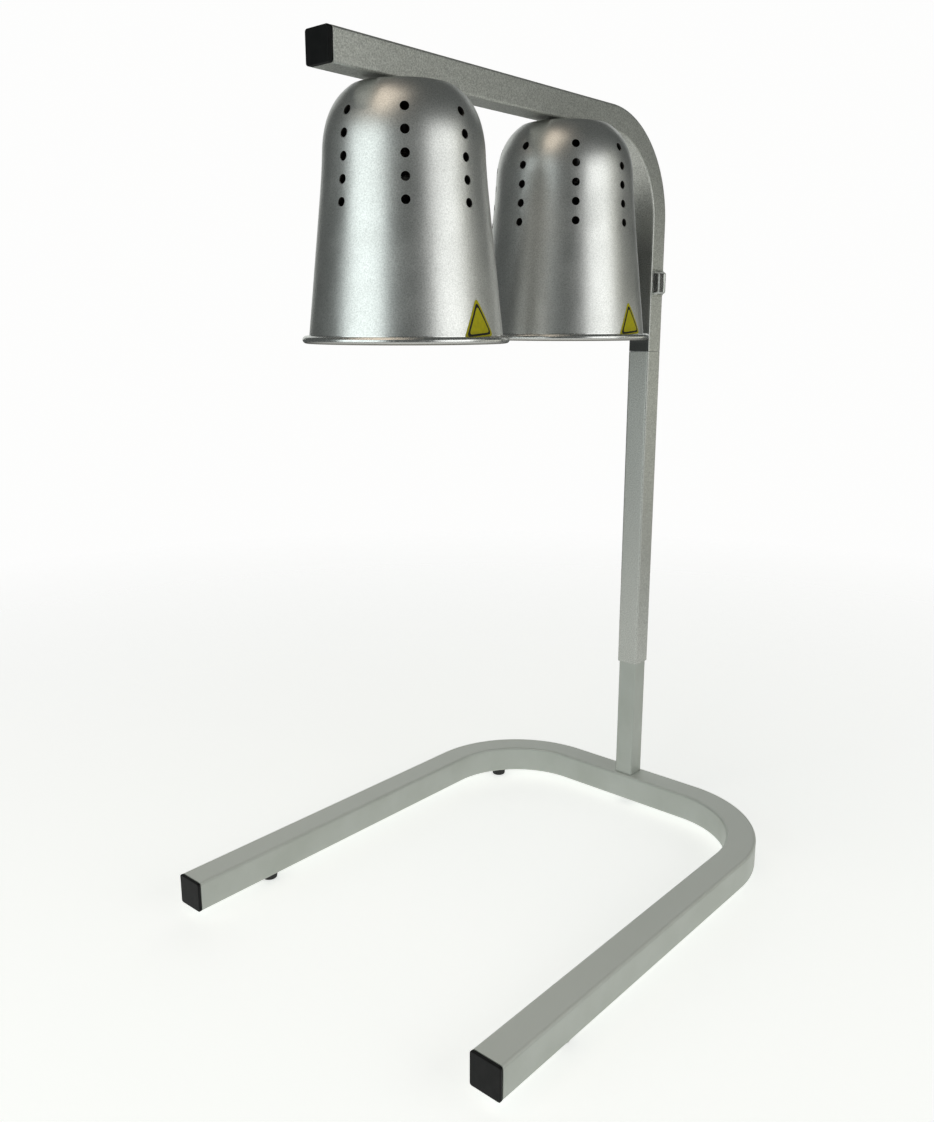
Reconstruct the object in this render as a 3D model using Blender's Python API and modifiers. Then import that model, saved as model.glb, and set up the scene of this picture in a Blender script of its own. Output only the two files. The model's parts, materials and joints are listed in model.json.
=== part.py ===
"""Heat lamp warmer for a serving counter: a U-shaped base of bent square tube, a telescopic post
and an arm that carries two vented lamp shades.

Metres, +Z up.  The origin is on the table, under the middle of the outline seen from above.
The legs and the arm point along -Y, and the switch is on the +X side.
"""

import math

import bmesh
import bpy
from mathutils import Matrix, Vector

GAP = 0.0003  # between pieces that touch

# Stand
FOOT_HEIGHT = 0.0095
FOOT_TOP_RADIUS = 0.0085
FOOT_BOTTOM_RADIUS = 0.0076
FOOT_BORE = 0.0023
FOOT_RECESS_RADIUS = 0.0044
FOOT_RECESS_DEPTH = 0.005
BASE_TUBE = 0.030
BASE_WALL = 0.0015
BASE_CORNER = 0.003
BASE_Z = FOOT_HEIGHT + BASE_TUBE / 2
BASE_BEND = 0.105
LEG_X = 0.18625
LEG_REACH = 0.4865
FRONT_FOOT_Y = -0.391
REAR_FOOT_TURN = math.radians(37.0)  # round the bend, from the leg towards the crossbar
PLUG_FLANGE = 0.003
PLUG_CHAMFER = 0.0009
LEG_PLUG_DEPTH = 0.016

# Telescopic post
POST_TUBE = 0.022
POST_WALL = 0.0015
POST_CORNER = 0.002
POST_BOTTOM = FOOT_HEIGHT + BASE_TUBE + GAP
POST_TOP = 0.3295
POST_CAP = 0.0022
POST_CAP_DEPTH = 0.012
INSERT_HEIGHT = 0.024
BOLT_RADIUS = 0.004
BOLT_HEAD_RADIUS = 0.0075
BOLT_HEAD_HEIGHT = 0.0053
BOLT_TOP = 0.0585
BOLT_WASHER = 0.0016
BOLT_WASHER_RADIUS = 0.0085
BOLT_ACCESS_RADIUS = 0.0095  # hole in the underside for the bolt, its washer and a spanner

# Sliding column
COLUMN_TUBE = 0.025
COLUMN_WALL = 0.0012
COLUMN_CORNER = 0.0022
COLUMN_FACE = COLUMN_TUBE / 2
COLUMN_BOTTOM = 0.1779
SEAM_Z = 0.5302
SPIGOT_HALF_LENGTH = 0.040
SPIGOT_SCREW_OFFSET = 0.020
SPIGOT_SCREW_RADIUS = 0.002
SPIGOT_SCREW_HEAD = 0.0035
GLAND_Z = 0.4795
GLAND_RADIUS = 0.005
CLAMP_Z = COLUMN_BOTTOM + 0.015
CLAMP_RADIUS = 0.0025
CLAMP_BOSS_RADIUS = 0.006
CLAMP_BOSS_HEIGHT = 0.0033
KNOB_RADIUS = 0.006
KNOB_REACH = 0.009

# Arm
ARM_Z = 0.7524
ARM_BEND = 0.0914
ARM_REACH = 0.4545
ARM_PLUG_FLANGE = 0.0045
ARM_PLUG_DEPTH = 0.014
SWITCH_Z = 0.6012

# Lamps: heights are above the rim of the shade
LAMPS = {"front": -0.3674, "rear": -0.1538}
RIM_Z = 0.5449
RIM_RADIUS = 0.0840
BEAD_RADIUS = 0.0025
SKIRT_BOTTOM_RADIUS = 0.0785
SKIRT_TOP = 0.1332
SKIRT_TOP_RADIUS = 0.0642
SHOULDER_HEIGHT = 0.0683
SHOULDER_POWER = 0.76
SHADE_HEIGHT = 0.1934
SHADE_WALL = 0.0012
SHADE_STEPS = 32
SHADE_HALF_STEP = math.pi / SHADE_STEPS
VENT_COLUMNS = 8
VENT_ROWS = 5
VENT_TOP = 0.169
VENT_PITCH = 0.01626
VENT_RADIUS = 0.0035
NIPPLE_RADIUS = 0.005
NIPPLE_BORE = 0.0032
NIPPLE_HOLE = NIPPLE_RADIUS + GAP
NIPPLE_BOTTOM = 0.1836
NIPPLE_TOP = 0.2056
HOLDER_RADIUS = 0.023
HOLDER_BOTTOM = 0.1416
HOLDER_CEILING = 0.1806
HOLDER_BORE = 0.015
BULB_RADIUS = 0.0625
BULB_NECK = 0.01175
BULB_CAP_RADIUS = 0.01325
BULB_CAP_BOTTOM = 0.1536
BULB_TIP = 0.1776
BULB_BOTTOM = 0.0126
BULB_WAIST = 0.050

POST_Y = (LEG_REACH - COLUMN_FACE - KNOB_REACH) / 2

FINISHES = {  # colour, roughness, metallic
    "silver paint": ((0.50, 0.51, 0.50), 0.42, 0.6),
    "spun aluminium": ((0.62, 0.61, 0.58), 0.36, 0.9),
    "zinc": ((0.62, 0.62, 0.60), 0.35, 1.0),
    "brass": ((0.62, 0.48, 0.24), 0.32, 1.0),
    "black rubber": ((0.02, 0.02, 0.02), 0.75, 0.0),
    "black plastic": ((0.018, 0.018, 0.018), 0.45, 0.0),
    "clear silicone": ((0.80, 0.82, 0.80), 0.25, 0.0),
    "porcelain": ((0.80, 0.79, 0.75), 0.35, 0.0),
    "lamp glass": ((0.75, 0.77, 0.78), 0.20, 0.0),
    "white cable": ((0.70, 0.70, 0.68), 0.55, 0.0),
}


# Scene

for leftover in list(bpy.data.objects):
    bpy.data.objects.remove(leftover, do_unlink=True)

parts = bpy.data.collections.new("heat lamp warmer")
cutters = bpy.data.collections.new("cutters")
bpy.context.scene.collection.children.link(parts)
bpy.context.scene.collection.children.link(cutters)


def empty(name, where, parent=None):
    """An unseen handle that carries a group of pieces."""
    handle = bpy.data.objects.new(name, None)
    handle.empty_display_size = 0.02
    handle.location = where
    handle.parent = parent
    parts.objects.link(handle)
    return handle


def finish_material(name, finish):
    colour, roughness, metallic = FINISHES[finish]
    material = bpy.data.materials.new(name)
    material.use_nodes = True
    shader = material.node_tree.nodes["Principled BSDF"]
    shader.inputs["Base Color"].default_value = (*colour, 1.0)
    shader.inputs["Roughness"].default_value = roughness
    shader.inputs["Metallic"].default_value = metallic
    material.diffuse_color = (*colour, 1.0)
    return material


def place(name, data, finish, parent, where=(0, 0, 0), turn=(0, 0, 0)):
    data.materials.append(finish_material(name, finish))
    piece = bpy.data.objects.new(name, data)
    piece.parent = parent
    piece.location = where
    piece.rotation_euler = turn
    parts.objects.link(piece)
    return piece


def mesh_of(name, bm, smooth_below=30.0):
    mesh = bpy.data.meshes.new(name)
    bm.to_mesh(mesh)
    bm.free()
    mesh.shade_smooth()
    mesh.set_sharp_from_angle(angle=math.radians(smooth_below))
    return mesh


# Cutting

def cut(piece, name, bm):
    """Take the closed mesh, given in the piece's own axes, out of the piece."""
    tool = bpy.data.objects.new(name, mesh_of(name, bm))
    tool.parent = piece
    tool.hide_render = True
    tool.display_type = "WIRE"
    cutters.objects.link(tool)
    modifier = piece.modifiers.new(name, "BOOLEAN")
    modifier.operation = "DIFFERENCE"
    modifier.solver = "EXACT"
    modifier.object = tool


def rod(bm, centre, axis, radius, length, sides=12):
    """Add a closed cylinder about an axis given as a direction."""
    aim = Vector(axis).to_track_quat("Z", "Y").to_matrix().to_4x4()
    bmesh.ops.create_cone(
        bm,
        cap_ends=True,
        segments=sides,
        radius1=radius,
        radius2=radius,
        depth=length,
        matrix=Matrix.Translation(centre) @ aim,
    )


def box(bm, size, centre=(0, 0, 0)):
    """Add a closed box and give back its vertices."""
    shape = Matrix.Translation(centre) @ Matrix.Diagonal((*size, 1.0))
    return bmesh.ops.create_cube(bm, size=1.0, matrix=shape)["verts"]


# Square tube

def rounded_square(side, corner, segments=2):
    """Corner points of a square outline whose corners are arcs."""
    inner = side / 2 - corner
    points = []
    for quarter in range(4):
        heading = quarter * math.pi / 2 + math.pi / 4
        middle = Vector((math.cos(heading), math.sin(heading))) * inner * math.sqrt(2)
        for step in range(segments + 1):
            angle = quarter * math.pi / 2 + step / segments * math.pi / 2
            points.append(middle + corner * Vector((math.cos(angle), math.sin(angle))))
    return points


def tube_end(bm, side, corner, frame):
    """Start a tube: a ring of edges in the plane that the matrix gives."""
    ring = [bm.verts.new(frame @ Vector((*point, 0))) for point in rounded_square(side, corner)]
    return [bm.edges.new((ring[i - 1], ring[i])) for i in range(len(ring))]


def run_on(bm, ring, shift):
    """Carry the tube on in a straight line."""
    made = bmesh.ops.extrude_edge_only(bm, edges=ring)["geom"]
    verts = [item for item in made if isinstance(item, bmesh.types.BMVert)]
    bmesh.ops.translate(bm, verts=verts, vec=shift)
    fresh = set(verts)
    edges = [item for item in made if isinstance(item, bmesh.types.BMEdge)]
    return [edge for edge in edges if fresh.issuperset(edge.verts)]


def bend_on(bm, ring, centre, axis, angle, steps=8):
    """Carry the tube on round a bend."""
    made = bmesh.ops.spin(bm, geom=ring, cent=centre, axis=axis, angle=angle, steps=steps)
    return [item for item in made["geom_last"] if isinstance(item, bmesh.types.BMEdge)]


def tube(name, bm, wall, finish, parent):
    """Give the swept skin its wall, inwards."""
    bmesh.ops.recalc_face_normals(bm, faces=bm.faces)
    piece = place(name, mesh_of(name, bm), finish, parent)
    solidify = piece.modifiers.new("wall", "SOLIDIFY")
    solidify.thickness = wall
    solidify.offset = -1.0
    solidify.use_even_offset = True
    return piece


def straight_tube(name, side, corner, wall, bottom, top, finish, parent):
    bm = bmesh.new()
    ring = tube_end(bm, side, corner, Matrix.Translation((0, 0, bottom)))
    run_on(bm, ring, (0, 0, top - bottom))
    return tube(name, bm, wall, finish, parent)


def square_bar(bm, side, length, corner):
    """A bar along Z that stands on the local origin, its long edges rounded."""
    verts = box(bm, (side, side, length), (0, 0, length / 2))
    edges = {edge for vert in verts for edge in vert.link_edges}
    long_edges = [e for e in edges if abs((e.verts[0].co - e.verts[1].co).z) > length / 2]
    bmesh.ops.bevel(bm, geom=long_edges, offset=corner, segments=2, affect="EDGES", profile=0.5)


def square_plug(name, side, corner, wall, flange, depth, parent, where, turn):
    """A push-in end plug: its face looks along local +Z and its body goes into the tube."""
    bm = bmesh.new()
    square_bar(bm, side, flange, corner)
    bm.faces.ensure_lookup_table()
    face = max(bm.faces, key=lambda f: f.calc_center_median().z)
    chamfer = list(face.edges)
    bmesh.ops.bevel(bm, geom=chamfer, offset=PLUG_CHAMFER, segments=2, affect="EDGES", profile=0.5)
    back = min(bm.faces, key=lambda f: f.calc_center_median().z)
    bmesh.ops.inset_region(bm, faces=[back], thickness=wall + GAP, use_even_offset=True)
    body = bmesh.ops.extrude_face_region(bm, geom=[back])["geom"]
    bmesh.ops.delete(bm, geom=[back], context="FACES_ONLY")
    verts = [item for item in body if isinstance(item, bmesh.types.BMVert)]
    bmesh.ops.translate(bm, verts=verts, vec=(0, 0, -depth))
    return place(name, mesh_of(name, bm), "black plastic", parent, where, turn)


# Turned pieces

def turned(name, profile, finish, parent, where=(0, 0, 0), turn=(0, 0, 0), steps=24, ring=False):
    """Turn a profile of (radius, height) points about local Z; a ring's profile is a closed loop."""
    mesh = bpy.data.meshes.new(name)
    edges = [(i, i + 1) for i in range(len(profile) - 1)]
    if ring:
        edges.append((len(profile) - 1, 0))
    mesh.from_pydata([(radius, 0, height) for radius, height in profile], edges, [])
    piece = place(name, mesh, finish, parent, where, turn)
    screw = piece.modifiers.new("turn", "SCREW")
    screw.steps = steps
    screw.render_steps = steps
    screw.use_merge_vertices = True
    screw.merge_threshold = 0.0001
    screw.use_smooth_shade = True
    return piece


def sleeve(name, bore, radius, bottom, top, finish, parent, **placing):
    """A plain ring or hollow cylinder."""
    profile = [(bore, top), (radius, top), (radius, bottom), (bore, bottom)]
    return turned(name, profile, finish, parent, ring=True, **placing)


# Stand

def base_frame(stand):
    bm = bmesh.new()
    open_end = -LEG_REACH + PLUG_FLANGE + GAP
    leg_run = -BASE_BEND - open_end
    start = Matrix.Translation((-LEG_X, open_end, BASE_Z)) @ Matrix.Rotation(math.pi / 2, 4, "X")
    ring = tube_end(bm, BASE_TUBE, BASE_CORNER, start)
    ring = run_on(bm, ring, (0, leg_run, 0))
    centre = Vector((-LEG_X + BASE_BEND, -BASE_BEND, BASE_Z))
    ring = bend_on(bm, ring, centre, (0, 0, 1), -math.pi / 2)
    ring = run_on(bm, ring, (-2 * centre.x, 0, 0))
    centre.x = -centre.x
    ring = bend_on(bm, ring, centre, (0, 0, 1), -math.pi / 2)
    run_on(bm, ring, (0, -leg_run, 0))
    frame = tube("base_frame", bm, BASE_WALL, "silver paint", stand)

    holes = bmesh.new()
    rod(holes, (0, 0, FOOT_HEIGHT + BASE_TUBE), (0, 0, 1), BOLT_RADIUS + 0.0005, 4 * BASE_WALL, 16)
    rod(holes, (0, 0, FOOT_HEIGHT), (0, 0, 1), BOLT_ACCESS_RADIUS, 4 * BASE_WALL, 24)
    for x, y in foot_spots().values():
        rod(holes, (x, y, FOOT_HEIGHT), (0, 0, 1), FOOT_BORE, 4 * BASE_WALL)
    cut(frame, "base hole cutter", holes)


def foot_spots():
    """Where the four feet stand, from the post's axis."""
    reach = BASE_BEND * math.cos(REAR_FOOT_TURN)
    rear_x = LEG_X - BASE_BEND + reach
    rear_y = -BASE_BEND + BASE_BEND * math.sin(REAR_FOOT_TURN)
    spots = {}
    for side, sign in (("left", -1), ("right", 1)):
        spots["front_" + side] = (sign * LEG_X, FRONT_FOOT_Y)
        spots["rear_" + side] = (sign * rear_x, rear_y)
    return spots


def feet(stand):
    top = FOOT_HEIGHT - GAP
    foot = [
        (FOOT_BORE, top),
        (FOOT_TOP_RADIUS, top),
        (FOOT_TOP_RADIUS, 0.0070),
        (FOOT_BOTTOM_RADIUS + 0.0002, 0.0012),
        (FOOT_BOTTOM_RADIUS - 0.0009, 0),
        (FOOT_RECESS_RADIUS, 0),
        (FOOT_RECESS_RADIUS, FOOT_RECESS_DEPTH),
        (FOOT_BORE, FOOT_RECESS_DEPTH),
    ]
    head_top = FOOT_RECESS_DEPTH - GAP
    screw = [
        (0, 0.018),
        (0.0020, 0.018),
        (0.0020, head_top),
        (0.0040, head_top),
        (0.0040, 0.0034),
        (0.0028, 0.0026),
        (0, 0.0026),
    ]
    for spot, (x, y) in foot_spots().items():
        turned("foot_" + spot, foot, "black rubber", stand, (x, y, 0), steps=16, ring=True)
        turned("foot_screw_" + spot, screw, "zinc", stand, (x, y, 0), steps=8)


def leg_plugs(stand):
    for side, sign in (("left", -1), ("right", 1)):
        square_plug(
            "leg_plug_" + side,
            BASE_TUBE,
            BASE_CORNER,
            BASE_WALL,
            PLUG_FLANGE,
            LEG_PLUG_DEPTH,
            stand,
            (sign * LEG_X, -LEG_REACH + PLUG_FLANGE, BASE_Z),
            (math.pi / 2, 0, 0),
        )


def post(stand):
    tube_top = POST_TOP - POST_CAP - GAP
    straight_tube(
        "inner_post", POST_TUBE, POST_CORNER, POST_WALL, POST_BOTTOM, tube_top, "zinc", stand
    )
    square_plug(
        "post_top_plug",
        POST_TUBE,
        POST_CORNER,
        POST_WALL,
        POST_CAP,
        POST_CAP_DEPTH,
        stand,
        (0, 0, POST_TOP - POST_CAP),
        (0, 0, 0),
    )


def post_fixing(stand):
    """The bolt inside the crossbar that pulls the post down onto it."""
    bm = bmesh.new()
    square_bar(bm, POST_TUBE - 2 * (POST_WALL + GAP), INSERT_HEIGHT, POST_CORNER / 2)
    where = (0, 0, POST_BOTTOM)
    insert = place("post_thread_insert", mesh_of("insert", bm), "zinc", stand, where)
    thread = bmesh.new()
    rod(thread, (0, 0, INSERT_HEIGHT / 2), (0, 0, 1), BOLT_RADIUS + GAP, 2 * INSERT_HEIGHT, 16)
    cut(insert, "insert thread cutter", thread)

    washer_top = FOOT_HEIGHT + BASE_TUBE - BASE_WALL - GAP
    washer_bottom = washer_top - BOLT_WASHER
    bore = BOLT_RADIUS + GAP
    sleeve(
        "post_bolt_washer", bore, BOLT_WASHER_RADIUS, washer_bottom, washer_top, "zinc", stand, steps=16
    )
    head_top = washer_bottom - GAP
    head_bottom = head_top - BOLT_HEAD_HEIGHT
    bm = bmesh.new()
    rod(bm, (0, 0, (head_top + head_bottom) / 2), (0, 0, 1), BOLT_HEAD_RADIUS, BOLT_HEAD_HEIGHT, 6)
    crown = max(bm.faces, key=lambda f: f.calc_center_median().z)
    step_in = (BOLT_HEAD_RADIUS - BOLT_RADIUS) * math.cos(math.pi / 6)
    bmesh.ops.inset_region(bm, faces=[crown], thickness=step_in, use_even_offset=True)
    shank = bmesh.ops.extrude_face_region(bm, geom=[crown])["geom"]
    bmesh.ops.delete(bm, geom=[crown], context="FACES_ONLY")
    verts = [item for item in shank if isinstance(item, bmesh.types.BMVert)]
    bmesh.ops.translate(bm, verts=verts, vec=(0, 0, BOLT_TOP - head_top))
    place("post_bolt", mesh_of("post_bolt", bm), "zinc", stand)


# Sliding head

def column(head):
    piece = straight_tube(
        "column_tube", COLUMN_TUBE, COLUMN_CORNER, COLUMN_WALL, COLUMN_BOTTOM, SEAM_Z, "silver paint", head
    )
    holes = bmesh.new()
    for z, radius in (
        (CLAMP_Z, CLAMP_RADIUS + GAP),
        (GLAND_Z, GLAND_RADIUS + GAP),
        (SEAM_Z - SPIGOT_SCREW_OFFSET, SPIGOT_SCREW_RADIUS + GAP),
    ):
        rod(holes, (0, COLUMN_FACE, z), (0, 1, 0), radius, 4 * COLUMN_WALL)
    cut(piece, "column hole cutter", holes)


def spigot(head):
    """The short inner tube that joins column and arm, and its two screws."""
    bottom = SEAM_Z - SPIGOT_HALF_LENGTH
    top = SEAM_Z + SPIGOT_HALF_LENGTH
    piece = straight_tube(
        "column_spigot", POST_TUBE, POST_CORNER, POST_WALL, bottom, top, "zinc", head
    )
    holes = bmesh.new()
    head_base = COLUMN_FACE + GAP
    screw = [
        (0, head_base + 0.0018),
        (SPIGOT_SCREW_HEAD - 0.001, head_base + 0.0018),
        (SPIGOT_SCREW_HEAD, head_base + 0.0006),
        (SPIGOT_SCREW_HEAD, head_base),
        (SPIGOT_SCREW_RADIUS, head_base),
        (SPIGOT_SCREW_RADIUS, 0.006),
        (0, 0.006),
    ]
    for place_name, offset in (("lower", -SPIGOT_SCREW_OFFSET), ("upper", SPIGOT_SCREW_OFFSET)):
        z = SEAM_Z + offset
        rod(holes, (0, POST_TUBE / 2, z), (0, 1, 0), SPIGOT_SCREW_RADIUS + GAP, 4 * POST_WALL)
        turned(
            "spigot_screw_" + place_name, screw, "zinc", head, (0, 0, z), (-math.pi / 2, 0, 0), steps=12
        )
    cut(piece, "spigot hole cutter", holes)


def clamp(head):
    """The thumb screw that holds the column at its height, in a boss welded to the column."""
    axis = empty("clamp axis", (0, COLUMN_FACE, CLAMP_Z), head)
    axis.rotation_euler = (-math.pi / 2, 0, 0)
    bore = CLAMP_RADIUS + GAP
    boss_top = GAP + CLAMP_BOSS_HEIGHT
    sleeve("clamp_boss", bore, CLAMP_BOSS_RADIUS, GAP, boss_top, "silver paint", axis, steps=20)
    knob_base = boss_top + GAP
    tip = POST_TUBE / 2 + GAP - COLUMN_FACE
    screw = [
        (0, KNOB_REACH),
        (KNOB_RADIUS - 0.0008, KNOB_REACH),
        (KNOB_RADIUS, KNOB_REACH - 0.0006),
        (KNOB_RADIUS, knob_base + 0.0006),
        (KNOB_RADIUS - 0.0008, knob_base),
        (CLAMP_RADIUS, knob_base),
        (CLAMP_RADIUS, tip),
        (0, tip),
    ]
    turned("clamp_screw", screw, "zinc", axis, steps=20)


def gland(head):
    """The bushing where the supply cord goes into the column."""
    bore = 0.0033
    profile = [
        (bore, 0.0040),
        (0.0062, 0.0040),
        (0.0080, 0.0022),
        (0.0080, GAP),
        (GLAND_RADIUS, GAP),
        (GLAND_RADIUS, -0.0042),
        (bore, -0.0042),
    ]
    where = (0, COLUMN_FACE, GLAND_Z)
    turn = (-math.pi / 2, 0, 0)
    turned("cord_bushing", profile, "black rubber", head, where, turn, steps=20, ring=True)


def arm(head):
    bm = bmesh.new()
    bottom = SEAM_Z + GAP
    ring = tube_end(bm, COLUMN_TUBE, COLUMN_CORNER, Matrix.Translation((0, 0, bottom)))
    ring = run_on(bm, ring, (0, 0, ARM_Z - ARM_BEND - bottom))
    ring = bend_on(bm, ring, (0, -ARM_BEND, ARM_Z - ARM_BEND), (1, 0, 0), math.pi / 2)
    run_on(bm, ring, (0, ARM_BEND + ARM_PLUG_FLANGE + GAP - ARM_REACH, 0))
    piece = tube("arm_tube", bm, COLUMN_WALL, "silver paint", head)

    holes = bmesh.new()
    screw_z = SEAM_Z + SPIGOT_SCREW_OFFSET
    rod(holes, (0, COLUMN_FACE, screw_z), (0, 1, 0), SPIGOT_SCREW_RADIUS + GAP, 4 * COLUMN_WALL)
    for reach in LAMPS.values():
        underside = (0, reach, ARM_Z - COLUMN_FACE)
        rod(holes, underside, (0, 0, 1), NIPPLE_HOLE, 4 * COLUMN_WALL, 16)
    box(holes, (4 * COLUMN_WALL, *SWITCH_BODY_HOLE), (COLUMN_FACE, 0, SWITCH_Z))
    cut(piece, "arm hole cutter", holes)

    square_plug(
        "arm_end_plug",
        COLUMN_TUBE,
        COLUMN_CORNER,
        COLUMN_WALL,
        ARM_PLUG_FLANGE,
        ARM_PLUG_DEPTH,
        head,
        (0, -ARM_REACH + ARM_PLUG_FLANGE, ARM_Z),
        (math.pi / 2, 0, 0),
    )


# Switch: local +X points out of the arm, and X is 0 on the arm's face

SWITCH_BODY = (0.0130, 0.0190)  # along Y and Z
SWITCH_BODY_HOLE = (SWITCH_BODY[0] + 2 * GAP, SWITCH_BODY[1] + 2 * GAP)
SWITCH_BODY_BACK = -0.0137
BEZEL = (0.0140, 0.0206)
BEZEL_BASE = 0.0016
BEZEL_FACE = 0.0033
POCKET = (0.0110, 0.0178)
POCKET_FLOOR = -0.0090
ROCKER_PIVOT = -0.0035
ROCKER_APEX = 0.0082
ROCKER_HALF_LENGTH = 0.0076
ROCKER_HALF_WIDTH = 0.0052
ROCKER_SLOPE = math.radians(10.0)
COVER_FLANGE = (0.0214, 0.0277)
COVER_FLANGE_FACE = 0.0013
COVER_BASE = (0.0180, 0.0240)
COVER_TOP = (0.0138, 0.0213)
COVER_REACH = 0.0067
COVER_WALL = 0.0008


def frustum(bm, base, top, x_base, x_top):
    """A block that tapers along X from one rectangle to another."""
    middle = ((x_base + x_top) / 2, 0, 0)
    for vert in box(bm, (x_top - x_base, *base), middle):
        if vert.co.x > middle[0]:
            vert.co.y *= top[0] / base[0]
            vert.co.z *= top[1] / base[1]


def join(piece, name, bm):
    """Weld another closed mesh, given in the piece's own axes, to the piece."""
    cut(piece, name, bm)
    piece.modifiers[name].operation = "UNION"


def slab(bm, area, x_low, x_high):
    box(bm, (x_high - x_low, *area), ((x_low + x_high) / 2, 0, 0))


def switch(head):
    mount = empty("switch mount", (COLUMN_FACE, 0, SWITCH_Z), head)

    bm = bmesh.new()
    slab(bm, BEZEL, BEZEL_BASE, BEZEL_FACE)
    housing = place("switch_housing", mesh_of("switch_housing", bm), "black plastic", mount)
    body = bmesh.new()
    slab(body, SWITCH_BODY, SWITCH_BODY_BACK, (BEZEL_BASE + BEZEL_FACE) / 2)
    join(housing, "switch body joiner", body)
    pocket = bmesh.new()
    slab(pocket, POCKET, POCKET_FLOOR, 2 * BEZEL_FACE)
    cut(housing, "switch pocket cutter", pocket)

    for place_name, z in (("upper", 0.005), ("lower", -0.005)):
        bm = bmesh.new()
        box(bm, (0.0060, 0.0048, 0.0008))
        name = "switch_terminal_" + place_name
        place(name, mesh_of(name, bm), "brass", mount, (SWITCH_BODY_BACK - GAP - 0.0030, 0, z))

    rocker(mount)

    bm = bmesh.new()
    slab(bm, COVER_FLANGE, GAP, COVER_FLANGE_FACE)
    cover = place("switch_cover", mesh_of("switch_cover", bm), "clear silicone", mount)
    dome = bmesh.new()
    frustum(dome, COVER_BASE, COVER_TOP, COVER_FLANGE_FACE / 2, COVER_REACH)
    join(cover, "switch cover joiner", dome)
    inside = bmesh.new()
    inner_base = [side - 2 * COVER_WALL for side in COVER_BASE]
    inner_top = [side - 2 * COVER_WALL for side in COVER_TOP]
    frustum(inside, inner_base, inner_top, COVER_FLANGE_FACE, COVER_REACH - COVER_WALL)
    cut(cover, "switch cover hollow cutter", inside)
    window = bmesh.new()
    slab(window, SWITCH_BODY_HOLE, -COVER_FLANGE_FACE, 2 * COVER_FLANGE_FACE)
    cut(cover, "switch cover window cutter", window)


def rocker(mount):
    """The rocker, its origin on its pivot, with its upper half pressed in."""
    end_x = ROCKER_APEX - ROCKER_HALF_LENGTH * math.tan(ROCKER_SLOPE)
    half = [
        (end_x, ROCKER_HALF_LENGTH),
        (0.0040, 0.0070),
        (-0.0040, 0.0035),
    ]
    outline = [(ROCKER_APEX, 0), *half, *((x, -z) for x, z in reversed(half))]
    curve = bpy.data.curves.new("switch_rocker", "CURVE")
    curve.dimensions = "2D"
    curve.fill_mode = "BOTH"
    curve.extrude = ROCKER_HALF_WIDTH
    spline = curve.splines.new("POLY")
    spline.points.add(len(outline) - 1)
    for point, (x, z) in zip(spline.points, outline):
        point.co = (x, z, 0, 1)
    spline.use_cyclic_u = True
    turn = (math.pi / 2, -ROCKER_SLOPE, 0)
    place("switch_rocker", curve, "black plastic", mount, (ROCKER_PIVOT, 0, 0), turn)


# Lamps

def shade_outline(points_on_shoulder=5):
    """The shade's outer line from the crown down to the bead, as (radius, height)."""
    crown_sine = ((SHADE_HEIGHT - SKIRT_TOP) / SHOULDER_HEIGHT) ** (1 / SHOULDER_POWER)
    crown_angle = math.asin(crown_sine)
    line = []
    for step in range(points_on_shoulder):
        angle = crown_angle * (1 - step / points_on_shoulder)
        radius = SKIRT_TOP_RADIUS * math.cos(angle) ** SHOULDER_POWER
        height = SKIRT_TOP + SHOULDER_HEIGHT * math.sin(angle) ** SHOULDER_POWER
        line.append((radius, height))
    line.append((SKIRT_TOP_RADIUS, SKIRT_TOP))
    line.append((SKIRT_BOTTOM_RADIUS, 2 * BEAD_RADIUS))
    return line


def inward(line, distance):
    """The line moved inwards, square to itself."""
    moved = []
    for i in range(len(line)):
        before = Vector(line[max(i - 1, 0)])
        after = Vector(line[min(i + 1, len(line) - 1)])
        along = (after - before).normalized()
        moved.append(Vector(line[i]) + distance * Vector((along.y, -along.x)))
    return [(point.x, point.y) for point in moved]


def shade_profile():
    outer = shade_outline()
    inner = inward(outer, SHADE_WALL)
    ceiling = SHADE_HEIGHT - SHADE_WALL
    inner = [(radius, min(height, ceiling)) for radius, height in inner]
    bead_centre = RIM_RADIUS - BEAD_RADIUS
    bead = []
    for degrees in (120, 60, 0, -45, -90, -135):
        angle = math.radians(degrees)
        radius = bead_centre + BEAD_RADIUS * math.cos(angle)
        bead.append((radius, BEAD_RADIUS + BEAD_RADIUS * math.sin(angle)))
    lip = (inner[-1][0], 0.0010)
    top = [(NIPPLE_HOLE, SHADE_HEIGHT), *outer, *bead, lip]
    return [*top, *reversed(inner), (NIPPLE_HOLE, ceiling)]


def vents():
    """Five rows of round holes in eight columns round the shade, one column facing +X."""
    bm = bmesh.new()
    for column_number in range(VENT_COLUMNS):
        heading = column_number * 2 * math.pi / VENT_COLUMNS - SHADE_HALF_STEP
        outward = Vector((math.cos(heading), math.sin(heading), 0))
        for row in range(VENT_ROWS):
            height = Vector((0, 0, VENT_TOP - row * VENT_PITCH))
            centre = outward * SKIRT_TOP_RADIUS + height
            rod(bm, centre, outward, VENT_RADIUS, 12 * BEAD_RADIUS, 8)
    return bm


def shade(place_name, lamp):
    name = "shade_" + place_name
    turn = (0, 0, SHADE_HALF_STEP)
    profile = shade_profile()
    piece = turned(name, profile, "spun aluminium", lamp, turn=turn, steps=SHADE_STEPS, ring=True)
    cut(piece, "vent cutter " + place_name, vents())


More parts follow.
